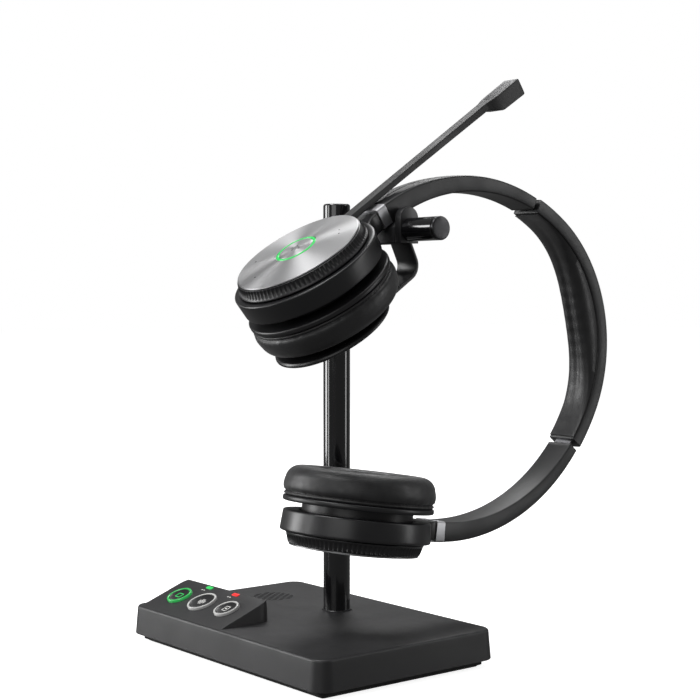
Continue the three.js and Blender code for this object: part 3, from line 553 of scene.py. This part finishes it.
def build_cup_faces():
    upper_face = lathe_data(disc_profile(LIGHT_OUTER + 0.25), 160)
    piece("upper_disc_face", *upper_face, UPPER_CUP, DISC_METAL, "upper_arm", "brushed_metal",
          ["disc_upper"], 50)
    lower_face = lathe_data(disc_profile(0), 160)
    piece("lower_disc_face", *lower_face, LOWER_CUP, DISC_METAL, "lower_arm", "brushed_metal",
          ["disc_lower"], 50)
    # Painted shade: dark dots stand in for the shade inside the microphone ports.
    piece("disc_painted_port_shade", *painted_port_shade(), UPPER_CUP, RUBBER, "upper_arm", "satin_black")
    top = dome(LIGHT_OUTER)
    ring = [(LIGHT_INNER, -1.0), (10.8, -1.0), (10.8, -0.2), (LIGHT_OUTER, -0.2), (LIGHT_OUTER, top - 0.15),
            (LIGHT_OUTER - 0.12, top), (LIGHT_INNER + 0.12, top + 0.04), (LIGHT_INNER, top - 0.1)]
    piece("call_light", *lathe_data(ring, 128), UPPER_CUP, GREEN, "upper_arm", "green_window", ["light_ring"])
    edge = LIGHT_INNER - 0.25
    button = [(0, -3.8), (2, -3.8), (2, -1.4), (edge, -1.4)]
    button += [(edge, dome(edge) - 0.2), (edge - 0.2, dome(edge) - 0.02)]
    button += [(edge * (1 - i / 6), dome(edge * (1 - i / 6))) for i in range(1, 7)]
    piece("call_button_face", *lathe_data(button, 128), UPPER_CUP, DISC_METAL, "call_key", "brushed_metal",
          ["call_button"], 50)
    bars = []
    for x, half in ((-2.4, 1.0), (-0.8, 2.1), (0.8, 1.4), (2.4, 0.8)):
        bar = prism_data(rounded(block(0.35, -half, half), 0.3), 0, 0.12, 0.03, 1)
        bars.append(moved(bar, Matrix.Translation((x, 0, dome(abs(x)) - 0.04))))
    piece("call_button_mark", *merge(*bars), UPPER_CUP, STEEL, "call_key", "steel")
    ring = lathe_data(RING_PROFILE, TEETH * TOOTH_STEPS, knurl)
    piece("lower_knurled_ring", *ring, LOWER_CUP, SATIN, "lower_arm", "satin_black", ["trim_ring"], 50)
    piece("upper_knurled_ring", *ring, UPPER_CUP, SATIN, "boom", "satin_black", ["boom_ring"], 50)


# ------------------------------------------------------------------ microphone boom

HEAD_MIDDLE = 139.3
BOOM_TOP = -1.8
BOOM_EDGE = 0.5
BOOM_STATIONS = [  # distance from the cup's axis, top, underside, half width
    (26.9, -1.8, -4.6, 3.1), (30, -1.8, -4.6, 3.1), (65, -1.8, -4.6, 3.1), (100, -1.8, -4.9, 3.1),
    (126.3, -1.8, -5.2, 3.1), (127.3, -1.8, -5.5, 3.25), (129.5, -1.8, -6.9, 3.95),
    (131.5, -1.8, -8.2, 4.45), (133.4, -1.8, -9.25, 4.7), (134.6, -1.8, -9.5, 4.75),
    (148.9, -1.8, -9.9, 4.75), (149.7, -1.85, -9.75, 4.65), (150.1, -2.3, -9.3, 4.3),
]
MESH_HALF_WIDTH = 3.6
MESH_HALF_LENGTH = 9.1
MESH_PITCH = 0.98
MESH_ROW_PITCH = 0.94


def build_boom():
    loops = []
    for along, top, under, half in BOOM_STATIONS:
        outline = rounded(block(half, under, top), BOOM_EDGE, 5)
        loops.append([(x, along, z) for x, z in outline])
    piece("boom_arm", *grid_loft(loops), UPPER_CUP, BOOM_BLACK, "boom", "satin_black", ["boom_bar"], 40)
    low, high = HEAD_MIDDLE - MESH_HALF_LENGTH, HEAD_MIDDLE + MESH_HALF_LENGTH
    plan = rounded(block(MESH_HALF_WIDTH, low, high), 3.3, 8)
    top = BOOM_TOP + 0.1
    mesh = prism_data(plan, BOOM_TOP - 0.8, top, 0.12, 2)
    piece("mic_mesh", *mesh, UPPER_CUP, MESH_METAL, "boom", "matt_grey", ["mic_grille"])
    rim_plan = rounded(block(MESH_HALF_WIDTH + 0.35, low - 0.35, high + 0.35), 3.6, 8)
    rim = prism_data(rim_plan, BOOM_TOP - 0.7, BOOM_TOP + 0.04, 0.04, 1)
    piece("mic_mesh_rim", *rim, UPPER_CUP, SATIN, "boom", "satin_black")
    # The grille's holes are not cut: dark dots laid on the mesh are painted shade for the inside of each
    # hole.
    holes = []
    rows = 9
    for row in range(-rows, rows + 1):
        for column in range(-3, 4):
            x = column * MESH_PITCH + (row % 2) * MESH_PITCH / 2
            y = row * MESH_ROW_PITCH
            if abs(x) < 3.1 and (abs(y) < 6.4 or math.hypot(x, abs(y) - 6.0) < 2.9):
                dot = lathe_data([(0, -0.12), (0.27, -0.12), (0.27, 0.03), (0, 0.03)], 8)
                holes.append(moved(dot, Matrix.Translation((x, HEAD_MIDDLE + y, top))))
    piece("mic_mesh_painted_hole_shade", *merge(*holes), UPPER_CUP, RUBBER, "boom", "satin_black")


# ------------------------------------------------------------------ headband

CROWN_RADIUS = 72.81
CROWN_HALF = 41.11
SIDE_RADIUS = 102.3
ARM_START = 53.44
ARM_END = 108.21
CLIP_START = 108.41
CLIP_END = 111.34
SHELL_END = 51.8
PAD_END = 51.2
SHELL_THICKNESS = 7.2
PAD_EDGE = 8.0
PAD_SWELL = 8.7
PAD_HALF_WIDTH = 7.75
CROWN_HALF_WIDTH = 8.1
ARM_HALF_WIDTH = 7.5
ARM_INSET = 6.6  # of the arm's inner face at its crown end
ARM_TAPER = 0.0566  # the arm thickens by this much per degree
CLIP_HALF_WIDTH = 7.6
CLIP_INSET = 10.0


def band_point(angle, inset, x=0.0):
    """A point of the band at an angle from the crown, inset from its outer outline."""
    side = 1 if angle >= 0 else -1
    turn = math.radians(angle)
    if abs(angle) <= CROWN_HALF:
        centre_y, centre_z, radius = -CROWN_RADIUS, 0.0, CROWN_RADIUS - inset
    else:
        centre_y, centre_z, radius = -SIDE_DEPTH, -side * SIDE_OFFSET, SIDE_RADIUS - inset
    return (x, centre_y + radius * math.cos(turn), centre_z + radius * math.sin(turn))


def band_piece_data(start, stop, steps, outline_at, round_ends=0.0):
    """Lofts a section along the band; outline_at(angle) gives points (x, inset)."""
    loops = []
    for index in range(steps + 1):
        angle = start + (stop - start) * index / steps
        loops.append([band_point(angle, inset, x) for x, inset in outline_at(angle)])
    if round_ends:
        loops = [shrunk(loops[0], 0.94)] + loops + [shrunk(loops[-1], 0.94)]
        loops[0] = pushed_out(loops[0], loops[2], loops[1], round_ends)
        loops[-1] = pushed_out(loops[-1], loops[-3], loops[-2], round_ends)
    return grid_loft(loops)


def pushed_out(loop, further, nearer, distance):
    """An end loop moved away from the two loops next to it."""
    return [tuple(Vector(p) + (Vector(a) - Vector(b)).normalized() * distance * -1)
            for p, a, b in zip(loop, further, nearer)]


def shrunk(loop, share):
    middle = sum((Vector(point) for point in loop), Vector()) / len(loop)
    return [tuple(middle + (Vector(point) - middle) * share) for point in loop]


def strap_outline(half, outer, inner, corner, crowned=0.35, steps=5):
    """A strap's section: slightly crowned outside, flat inside, rounded edges."""
    across = 8
    top = [(half - corner - (2 * (half - corner)) * i / across, outer) for i in range(across + 1)]
    points = []
    for x, inset in top:
        points.append((x, inset + crowned * ((x / half) ** 2)))
    left = [(-half + corner * (1 - math.sin(a)), outer + crowned + corner * (1 - math.cos(a)))
            for a in (math.pi / 2 * i / steps for i in range(1, steps + 1))]
    low = [(-half + corner * (1 - math.cos(a)), inner - corner * (1 - math.sin(a)))
           for a in (math.pi / 2 * i / steps for i in range(1, steps + 1))]
    right = [(-x, inset) for x, inset in reversed(low)] + [(-x, inset) for x, inset in reversed(left)]
    return points + left + low + right


def arm_inset(angle):
    return ARM_INSET + (angle - ARM_START) * ARM_TAPER


def arm_outline(angle):
    return strap_outline(ARM_HALF_WIDTH, 0.4, arm_inset(angle), 0.9)


def pad_inset(angle):
    return PAD_EDGE + PAD_SWELL * math.cos(angle / PAD_END * math.pi / 2) ** 2


def pad_outline(angle):
    """The crown pad's section: a padded face with a sewn channel down its middle."""
    half, outer, inner = PAD_HALF_WIDTH, SHELL_THICKNESS + 0.25, pad_inset(angle)
    depth = inner - outer
    points = [(half - 0.2, outer), (-half + 0.2, outer)]
    count = 22
    for index in range(count + 1):
        x = -half + 2 * half * index / count
        edge = 1 - abs(x / half) ** 3.6
        channel = 1 - 0.14 * math.exp(-((x / 1.7) ** 2))
        quilt = 1 + 0.012 * math.sin(math.radians(angle) * 60 + 0.8) * (1 - (x / half) ** 2)
        points.append((x, outer + 0.2 + (depth - 0.2) * max(edge, 0) ** 0.5 * channel * quilt))
    return points


def build_band():
    crown_outline = strap_outline(CROWN_HALF_WIDTH, 0.0, SHELL_THICKNESS, 0.9)
    shell = band_piece_data(-SHELL_END, SHELL_END, 88, lambda angle: crown_outline, round_ends=0.25)
    piece("crown_cover", *shell, BAND, BAND_BLACK, "crown", "satin_black", ["crown_shell"], 50)
    cushion = band_piece_data(-PAD_END, PAD_END, 92, pad_outline)
    pad = piece("crown_cushion", *cushion, BAND, LEATHER, "crown", "leather", ["crown_pad"], 60)
    clip_outline = strap_outline(CLIP_HALF_WIDTH, 0.3, CLIP_INSET, 1.1, 0.3)
    painted_shade_strip_outline = [(0.55, 0.37), (-0.55, 0.37), (-0.55, 0.8), (0.55, 0.8)]
    for side, place in (("upper", BAND), ("lower", LOWER_BAND)):
        body = f"{side}_arm"
        arm = band_piece_data(ARM_START, ARM_END, 44, arm_outline, round_ends=0.25)
        piece(f"{side}_band_arm", *arm, place, BAND_BLACK, body, "satin_black", [f"side_arm_{side}"], 50)
        sleeve = band_piece_data(CLIP_START, CLIP_END, 5, lambda angle: clip_outline, round_ends=0.15)
        piece(f"{side}_clip_sleeve", *sleeve, place, CLIP_METAL, body, "brushed_metal", [f"clip_{side}"], 50)
        # A dark strip laid flush on the arm's outer face, painted shade standing in for a groove along the
        # arm.
        painted_shade_strip = band_piece_data(92, 103.6, 14, lambda angle: painted_shade_strip_outline)
        piece(f"{side}_arm_painted_shade_strip", *painted_shade_strip, place, RUBBER, body, "satin_black")


# ------------------------------------------------------------------ base

BASE_HALF_WIDTH = 72.2
BASE_HALF_DEPTH = 48.0
BASE_CORNER = 6.5
BASE_TOP = 16.8
BASE_RIM = 3.6
BASE_DRAFT = 1.0
PANEL_REAR_CORNER = 8.0
RING_WIDTH = 1.0
PANEL = {"left": -66.5, "right": -0.3, "front": -46.8, "back": -21.4, "top": 26.4}
PANEL_ANGLE = math.atan2(PANEL["top"] - BASE_TOP, PANEL["back"] - PANEL["front"])
PANEL_TURN = Matrix.Rotation(PANEL_ANGLE, 4, "X")
PANEL_PLACE = Matrix.Translation((0, PANEL["front"] * MM, BASE_TOP * MM)) @ PANEL_TURN
PANEL_BACK_SLOPE = 3.4  # how far the panel's rear face leans back
BUTTON_UP_SLOPE = 13.7
LAMP_UP_SLOPE = 25.0
LAMP_MARK_UP_SLOPE = 22.4
WELL_DEPTH = 6.4  # under each button cap
SLOT_HALF_WIDTH = 0.42
SLOT_HALF_LENGTH = 1.75
BUTTONS = (("left", -53.0, 6.05), ("centre", -34.0, 7.05), ("right", -14.3, 6.0))
GRILLE = {"x": -45.3, "y": 14.0, "radius": 9.8}


def base_plan(inset):
    """The base's rounded outline, inset all round."""
    w, d, r = BASE_HALF_WIDTH - inset, BASE_HALF_DEPTH - inset, max(BASE_CORNER - inset, 1)
    outline = []
    for cx, cy, start in ((w - r, d - r, 0), (r - w, d - r, 90), (r - w, r - d, 180), (w - r, r - d, 270)):
        outline += arc(cx, cy, r, start, start + 90, 14)
    return outline


def stacked(rings):
    """Lofts the base's outline through (inset, height) rings."""
    return grid_loft([[(x, y, z) for x, y in base_plan(inset)] for inset, z in rings])


def casing_data():
    """Outer skin of the casing from its rim to its rounded top edge, with the skin turned in below."""
    rings = [(2.4, BASE_RIM + 2), (2.4, BASE_RIM)]
    rings += [(0.3 - BASE_DRAFT, BASE_RIM), (-BASE_DRAFT, BASE_RIM + 0.3)]
    fillet = 1.2
    wall = BASE_TOP - fillet - BASE_RIM - 0.3
    rings += [(-BASE_DRAFT * (1 - t), BASE_RIM + 0.3 + wall * t) for t in (0.25, 0.5, 0.75)]
    rings += [(fillet * (1 - math.cos(a)), BASE_TOP - fillet * (1 - math.sin(a)))
              for a in (math.pi / 2 * i / 6 for i in range(7))]
    return stacked(rings)


def boolean(obj, other, operation):
    """Applies one exact boolean and deletes the tool."""
    modifier = obj.modifiers.new("boolean", "BOOLEAN")
    modifier.operation = operation
    modifier.object = other
    modifier.solver = "EXACT"
    apply_modifiers(obj)
    bpy.data.objects.remove(other)


def apply_modifiers(obj):
    bpy.context.view_layer.update()
    graph = bpy.context.evaluated_depsgraph_get()
    mesh = bpy.data.meshes.new_from_object(obj.evaluated_get(graph))
    obj.modifiers.clear()
    obj.data = mesh


def loose(name, data):
    """A plain object to be used as a tool or finished later, in metres."""
    mesh = bpy.data.meshes.new(name)
    mesh.from_pydata([Vector(point) * MM for point in data[0]], [], data[1])
    work = bmesh.new()
    work.from_mesh(mesh)
    bmesh.ops.recalc_face_normals(work, faces=work.faces)
    work.to_mesh(mesh)
    work.free()
    obj = bpy.data.objects.new(name, mesh)
    bpy.context.scene.collection.objects.link(obj)
    return obj


def panel_wedge():
    """The raised button panel, its rear corners rounded in plan and its edges softened."""
    back = PANEL["back"] + PANEL_BACK_SLOPE
    profile = [(PANEL["front"] - 0.4, 9.0), (PANEL["front"] - 0.4, BASE_TOP - 0.15)]
    profile += [(PANEL["back"], PANEL["top"]), (back, BASE_TOP), (back, 9.0)]
    wedge = loose("panel_wedge", prism_data(profile, PANEL["left"] - 1, PANEL["right"] + 1, plane="yz"))
    low, high = PANEL["front"] - 6, PANEL["back"] + 3.6
    plan = [(PANEL["left"], low), (PANEL["right"], low)]
    r = PANEL_REAR_CORNER
    plan += arc(PANEL["right"] - r, high - r, r, 0, 90, 12) + arc(PANEL["left"] + r, high - r, r, 90, 180, 12)
    boolean(wedge, loose("panel_plan", prism_data(plan, 8, 30)), "INTERSECT")
    bevel = wedge.modifiers.new("edges", "BEVEL")
    bevel.width = 0.7 * MM
    bevel.segments = 3
    bevel.limit_method = "ANGLE"
    bevel.angle_limit = math.radians(28)
    bevel.harden_normals = False
    apply_modifiers(wedge)
    return wedge


def grille_slots():
    """Short slots in staggered columns, filling a round patch."""
    parts = []
    pitch_x, pitch_y = 1.75, 4.6
    columns = int(GRILLE["radius"] / pitch_x)
    for column in range(-columns, columns + 1):
        x = column * pitch_x
        reach = math.sqrt(GRILLE["radius"] ** 2 - x**2)
        shift = pitch_y / 2 if column % 2 else 0
        for row in range(-3, 4):
            middle = row * pitch_y + shift
            low, high = max(middle - SLOT_HALF_LENGTH, -reach), min(middle + SLOT_HALF_LENGTH, reach)
            if high - low > 1.0:
                outline = rounded(block(SLOT_HALF_WIDTH, low, high), 0.4, 3)
                outline = [(GRILLE["x"] + x + a, GRILLE["y"] + b) for a, b in outline]
                parts.append(prism_data(outline, BASE_TOP - 1.2, BASE_TOP + 1))
    return merge(*parts)


def button_wells():
    """The holes in the panel that the button caps sink into."""
    wells = []
    slope = Matrix.Translation((0, PANEL["front"], BASE_TOP)) @ PANEL_TURN
    for _, x, radius in BUTTONS:
        edge = radius - 0.5
        well = lathe_data([(0, -WELL_DEPTH), (edge, -WELL_DEPTH), (edge, 3), (0, 3)], 48)
        wells.append(moved(well, slope @ Matrix.Translation((x, BUTTON_UP_SLOPE, 0))))
    return merge(*wells)


def build_casing():
    casing = loose("base_cover", casing_data())
    boolean(casing, panel_wedge(), "UNION")
    boolean(casing, loose("slots", grille_slots()), "DIFFERENCE")
    boolean(casing, loose("wells", button_wells()), "DIFFERENCE")
    dress(casing, WORLD, CASING, "base", ["base_casing"], 32)
    plinth = stacked([(3.6, 0.92), (3.0, 1.2), (3.0, 2.0), (3.0, 4.2), (3.3, 4.4)])
    piece("base_plinth", *plinth, WORLD, RUBBER, "base", "satin_black", ["base_bottom_plate"])
    foot = stacked([(5.3, 0), (5, 0.25), (5, 0.7), (5.2, 0.9)])
    piece("rubber_foot", *foot, WORLD, RUBBER, "base", "rubber", ["rubber_base_pad"])


def outline_stroke(points, width, height, lift):
    """A closed line icon as a thin raised band."""
    outer = rounded(points, 0.6, 4)
    middle = Vector((sum(p[0] for p in outer) / len(outer), sum(p[1] for p in outer) / len(outer)))
    inner = []
    for point in outer:
        ray = Vector(point) - middle
        inner.append(tuple(middle + ray * max(0.1, 1 - width / ray.length)))
    count = len(outer)
    loops = [[(x, y, lift) for x, y in outer], [(x, y, lift + height) for x, y in outer],
             [(x, y, lift + height) for x, y in inner], [(x, y, lift) for x, y in inner]]
    verts = [point for loop in loops for point in loop]
    faces = []
    for ring in range(4):
        for index in range(count):
            after = (index + 1) % count
            here, there = ring * count, ((ring + 1) % 4) * count
            faces.append((here + index, here + after, there + after, there + index))
    return verts, faces


def icon_data(name, lift):
    """Generic marks: a square, three bars, and a page with a corner dot."""
    if name == "left":
        return outline_stroke([(-1.9, -1.6), (1.9, -1.6), (1.9, 1.6), (-1.9, 1.6)], 0.5, 0.12, lift)
    if name == "centre":
        bars = []
        for x, half in ((-1.8, 1.0), (-0.6, 2.0), (0.6, 2.0), (1.8, 1.0)):
            bar = prism_data(rounded(block(0.32, -half, half), 0.3), lift, lift + 0.12, 0.03, 1)
            bars.append(moved(bar, Matrix.Translation((x, 0, 0))))
        return merge(*bars)
    page = outline_stroke([(-1.6, -1.9), (1.6, -1.9), (1.6, 1.9), (-1.6, 1.9)], 0.45, 0.12, lift)
    dot = prism_data(arc(0, 0, 0.55, 0, 360, 12)[:-1], lift, lift + 0.12, 0.03, 1)
    return merge(page, dot)


def build_buttons():
    for name, x, radius in BUTTONS:
        place = PANEL_PLACE @ Matrix.Translation((x * MM, BUTTON_UP_SLOPE * MM, 0))
        bore = radius - RING_WIDTH
        ring = [(bore, -3.4), (radius, -3.4), (radius, 0.75), (radius - 0.1, 1.05), (radius - 0.3, 1.2),
                (radius - 0.5, 1.25), (bore + 0.25, 1.2), (bore + 0.05, 1.05), (bore, 0.8)]
        finish, slot = (GREEN_RING, "green_window") if name == "left" else (WHITE_RING, "white_ring")
        piece(f"{name}_key_ring", *lathe_data(ring, 72), place, finish, "base", slot, [f"button_ring_{name}"])
        edge = bore - 0.28
        dish = [(edge * (1 - i / 8), 0.5 + 0.55 * (1 - i / 8) ** 2) for i in range(1, 9)]
        cap = [(0, -5.2), (1.6, -5.2), (1.6, -3.6), (edge, -3.6), (edge, 0.9), (edge - 0.15, 1.1)] + dish
        piece(f"{name}_key_cap", *lathe_data(cap, 72), place, SATIN, f"{name}_key", "satin_black",
              [f"button_{name}"])
        icon = GREEN if name == "left" else ICON
        piece(f"{name}_key_mark", *icon_data(name, 0.55), place, icon, f"{name}_key", slot)
    for name, x, finish in (("green", -43.8, GREEN), ("red", -22.5, RED)):
        place = PANEL_PLACE @ Matrix.Translation((x * MM, LAMP_UP_SLOPE * MM, 0))
        lamp = prism_data(rounded(block(2.25, -1, 1), 0.7, 4), -3.2, 0.3, 0.15, 2)
        piece(f"{name}_lamp", *lamp, place, finish, "base", f"{name}_window", [f"led_window_{name}"])
        mark = PANEL_PLACE @ Matrix.Translation(((x - 1.9) * MM, LAMP_MARK_UP_SLOPE * MM, 0))
        dot = prism_data(rounded(block(0.5, -0.3, 0.3), 0.25), -0.05, 0.06)
        dots = [moved(dot, Matrix.Translation((shift, 0, 0))) for shift in (-0.8, 0.8)]
        piece(f"{name}_lamp_mark", *merge(*dots), mark, ICON, "base", "white_ring")


# ------------------------------------------------------------------ stand

POST = {"x": -2.4, "y": 19.2, "radius": 6.15, "bottom": 4.5, "top": 203.5}
ARM = {"z": 190.0, "radius": 5.1, "end": 69.0, "start": 48.8}
STOP = {"left": 44.6, "right": 48.5, "front": 14.1, "back": 24.3, "low": 184.2}
PAD_OFFSET = -3.6  # the pad's centre, towards the front of the cup's axis
PAD_UNDERSIDE = -38.7
HEADSET_X = 35.0
RIBBON_LEFT = 35.6
RIBBON_THICKNESS = 1.4
RIBBON_BEND = 7.0
BEND_CENTRE = 37.3
BEND_RISE = -8.7  # angle at which the bend runs into the ribbon


def build_stand():
    post_place = Matrix.Translation((POST["x"] * MM, POST["y"] * MM, 0))
    r, top = POST["radius"], POST["top"]
    post = [(0, POST["bottom"]), (r, POST["bottom"])]
    post += [(r, 5 + (top - 6) * i / 12) for i in range(13)]
    post += [(r - 0.1, top - 0.6), (r - 0.35, top - 0.2), (r - 0.8, top), (r - 2, top), (0, top)]
    piece("round_post", *lathe_data(post, 96), post_place, GLOSS, "base", "gloss_black", ["stand_post"])
    collar = [(r + 0.05, 16.7), (r + 0.75, 16.7), (r + 0.75, 17.1), (r + 0.5, 17.35), (r + 0.05, 17.4)]
    piece("post_collar", *lathe_data(collar, 96), post_place, SATIN, "base", "satin_black")

    along_x = Matrix.Rotation(math.pi / 2, 4, "Y")
    arm_place = Matrix.Translation((0, POST["y"] * MM, ARM["z"] * MM)) @ along_x
    a, start, end = ARM["radius"], ARM["start"], ARM["end"] - 1.8
    bar = [(0, start), (a - 0.3, start), (a, start + 0.3), (a, end - 0.15), (a - 0.15, end), (0, end)]
    piece("arm_bar", *lathe_data(bar, 96), arm_place, GLOSS, "base", "gloss_black", ["stand_arm"])
    cap_place = Matrix.Translation((ARM["end"] * MM, POST["y"] * MM, ARM["z"] * MM)) @ along_x
    cap = [(0, -1.5), (a - 0.1, -1.5), (a, -1.4), (a, -0.55)]
    cap += [(a - 0.12, -0.3), (a - 0.45, -0.05), (a - 0.8, 0), (a * 0.5, 0.05), (0, 0.1)]
    piece("spun_end", *lathe_data(cap, 96), cap_place, CAP_METAL, "base", "steel", ["arm_end_cap"], 60)

    saddle = [(14.1, 184.2, 0.5), (24.3, 184.2, 0.8), (24.3, 190, 0), (24.1, 192, 0), (23.2, 193.8, 0)]
    saddle += [(21.5, 194.8, 0), (19.4, 195, 0), (17.6, 194.4, 0), (16.2, 193.5, 0)]
    saddle += [(15, 192.3, 0), (14.1, 191.3, 0.4)]
    saddle = prism_data(rounded(saddle, 0.5, 3), 3.5, STOP["left"] - 0.3, 0.3, 2, "yz")
    piece("rest_saddle", *saddle, WORLD, MATT, "base", "matt_grey", ["arm_saddle"])
    plate = rounded([(STOP["front"], STOP["low"]), (STOP["back"], STOP["low"])], 0.0)
    plate += arc(POST["y"], 194.9, ARM["radius"], 0, 180, 28)
    plate = prism_data(plate, STOP["left"], STOP["right"], 0.35, 3, "yz")
    piece("stop_plate", *plate, WORLD, SATIN, "base", "satin_black")
    build_pad()


def build_pad():
    """The ribbon bends back under the ear cup and ends in the round charging pad."""
    lean = math.radians(BEND_RISE + 90)

    def side_of_ribbon(height, radius, length):
        """One face of the ribbon: flat under the cup, round the bend and up to the flange."""
        path = [(14.0, height)]
        path += arc(BEND_CENTRE, PAD_UNDERSIDE + RIBBON_BEND, radius, -90, BEND_RISE, 28)
        y, z = path[-1]
        return path + [(y + length * math.cos(lean), z + length * math.sin(lean))]

    outer = side_of_ribbon(PAD_UNDERSIDE, RIBBON_BEND, 7.4)
    inner = side_of_ribbon(PAD_UNDERSIDE + RIBBON_THICKNESS, RIBBON_BEND - RIBBON_THICKNESS, 8.4)
    low, high = RIBBON_LEFT - HEADSET_X, STOP["right"] - HEADSET_X
    ribbon = prism_data(outer + list(reversed(inner)), low, high, 0.3, 3, "yz")
    piece("bent_ribbon", *ribbon, UPPER_CUP, SATIN, "base", "satin_black", ["charging_bracket"], 50)
    flange = rounded([(14.3, 184.25), (24.2, 184.25), (24.2, 185.5), (14.3, 185.5)], 0.3, 2)
    flange = prism_data(flange, RIBBON_LEFT + 0.05, STOP["left"] + 0.1, 0.2, 2, "yz")
    piece("ribbon_flange", *flange, WORLD, SATIN, "base", "satin_black")
    place = UPPER_CUP @ Matrix.Translation((0, PAD_OFFSET * MM, 0))
    rim = [(0, PAD_UNDERSIDE), (25.6, PAD_UNDERSIDE), (26.5, -38.55), (26.95, -38.2), (27, -37.8)]
    rim += [(26.85, -37.3), (26.45, -36.85), (26.1, -36.6), (25.4, -36.5)]
    rim += [(11.8, -36.5), (11.8, -37.9), (0, -37.9)]
    piece("charging_disc", *lathe_data(rim, 128), place, SATIN, "base", "satin_black", (), 50)
    cover = [(0, -37.7), (11.5, -37.7), (11.5, -34.2), (11.2, -33.5), (10.5, -33.05)]
    cover += [(7.5, -32.75), (0, -32.6)]
    piece("coil_cover", *lathe_data(cover, 96), place, MATT, "base", "satin_black",
          ["charging_pad_cover"], 50)


# ------------------------------------------------------------------ CAD nodes that stay as they are

CARRIED_OVER = {
    "ballast_plate": STEEL, "base_circuit_board": BOARD, "loudspeaker": RUBBER, "usb_socket": STEEL,
    "phone_socket": RUBBER, "post_screw": STEEL, "arm_screw": STEEL, "charging_coil": COPPER,
    "mic_capsule": STEEL, "headset_circuit_board": BOARD, "battery": MATT,
}
for side_name in ("upper", "lower"):
    CARRIED_OVER[f"slider_strip_{side_name}"] = STEEL
    CARRIED_OVER[f"ball_stud_{side_name}"] = STEEL
    CARRIED_OVER[f"ball_bush_{side_name}"] = WHITE_RING
    CARRIED_OVER[f"driver_{side_name}"] = RUBBER


def finish_carried_over():
    for name, finish in CARRIED_OVER.items():
        node = frame["nodes"][name]
        node.data.materials.clear()
        node.data.materials.append(finish)
        node.data.shade_smooth()
        node.data.set_sharp_from_angle(angle=math.radians(35))
        edges = node.modifiers.new("edges", "BEVEL")
        edges.width = 0.12 * MM
        edges.segments = 2
        edges.limit_method = "ANGLE"
        edges.angle_limit = math.radians(50)


# ------------------------------------------------------------------ studio

FLOOR_GLOW = 0.87
FLOOR_REACH = 6.0  # metres each way


def build_floor():
    """A pale floor that lifts to white; it is left out of reflections, as a cut-out studio floor is."""
    mesh = bpy.data.meshes.new("floor")
    corners = [(x, y, 0) for x, y in block(FLOOR_REACH, -FLOOR_REACH, FLOOR_REACH)]
    mesh.from_pydata(corners, [], [(0, 1, 2, 3)])
    floor = bpy.data.objects.new("floor", mesh)
    bpy.context.scene.collection.objects.link(floor)
    pale = Finish("pale_floor", (0.8, 0.8, 0.8), 0.6)
    pale.vary_roughness(pale.noise(3, 2), 0.03)
    pale.setting("Emission Color", (1, 1, 1, 1)).setting("Emission Strength", FLOOR_GLOW)
    mesh.materials.append(pale.material)
    floor.visible_diffuse = False
    floor.visible_glossy = False


def softbox(name, position, target, width, height, power):
    light = bpy.data.lights.new(name, "AREA")
    light.shape = "RECTANGLE"
    light.size, light.size_y = width, height
    light.energy = power
    obj = bpy.data.objects.new(name, light)
    obj.location = position
    obj.rotation_euler = (Vector(target) - Vector(position)).to_track_quat("-Z", "Y").to_euler()
    bpy.context.scene.collection.objects.link(obj)


AMBIENT = 0.17
STAGE_MIDDLE = (0.03, 0.03, 0.12)
SOFTBOXES = (  # name, position, width, height in metres, power in watts
    ("left", (-0.95, -0.75, 0.30), 0.45, 0.7, 8),
    ("far", (-0.55, 0.60, 1.00), 0.7, 0.4, 5),
    ("key", (-0.12, -0.45, 1.05), 0.45, 0.35, 6.0),
    ("strip", (-0.45, -1.05, 0.30), 0.16, 0.9, 2.6),
    ("right", (0.75, 0.85, 0.35), 0.25, 0.8, 2.4),
    ("front", (0.6, -1.2, 0.55), 0.9, 0.9, 3.6),
    ("top", (0.1, 0.1, 1.1), 0.6, 0.6, 2.2),
)


def build_studio():
    build_floor()
    world = bpy.data.worlds.new("studio")
    bpy.context.scene.world = world
    world.use_nodes = True
    nodes, links = world.node_tree.nodes, world.node_tree.links
    ambient = nodes["Background"]
    ambient.inputs["Color"].default_value = (1, 1, 1, 1)
    ambient.inputs["Strength"].default_value = AMBIENT
    backdrop = nodes.new("ShaderNodeBackground")
    backdrop.inputs["Color"].default_value = (1, 1, 1, 1)
    backdrop.inputs["Strength"].default_value = 1.0
    chooser = nodes.new("ShaderNodeMixShader")
    links.new(nodes.new("ShaderNodeLightPath").outputs["Is Camera Ray"], chooser.inputs["Fac"])
    links.new(ambient.outputs["Background"], chooser.inputs[1])
    links.new(backdrop.outputs["Background"], chooser.inputs[2])
    links.new(chooser.outputs["Shader"], nodes["World Output"].inputs["Surface"])
    bpy.context.scene.view_settings.view_transform = "Standard"
    for name, position, width, height, power in SOFTBOXES:
        softbox(name, position, STAGE_MIDDLE, width, height, power)


CAMERA_AZIMUTH = math.radians(51.25)
CAMERA_DROP = math.radians(1.97)
CAMERA_PLACE = (0.5389, -0.4074, 0.1604)
LENS = 77.2


def build_camera():
    data = bpy.data.cameras.new("camera")
    data.lens = LENS
    data.sensor_width = 36
    data.clip_start = 0.01
    camera = bpy.data.objects.new("camera", data)
    camera.location = CAMERA_PLACE
    camera.rotation_euler = (math.pi / 2 - CAMERA_DROP, 0, CAMERA_AZIMUTH)
    bpy.context.scene.collection.objects.link(camera)
    bpy.context.scene.camera = camera


build_camera()
build_studio()
build_casing()
build_buttons()
build_stand()
build_ear("upper", UPPER_CUP)
build_ear("lower", LOWER_CUP)
build_cup_faces()
build_boom()
build_band()
finish_carried_over()
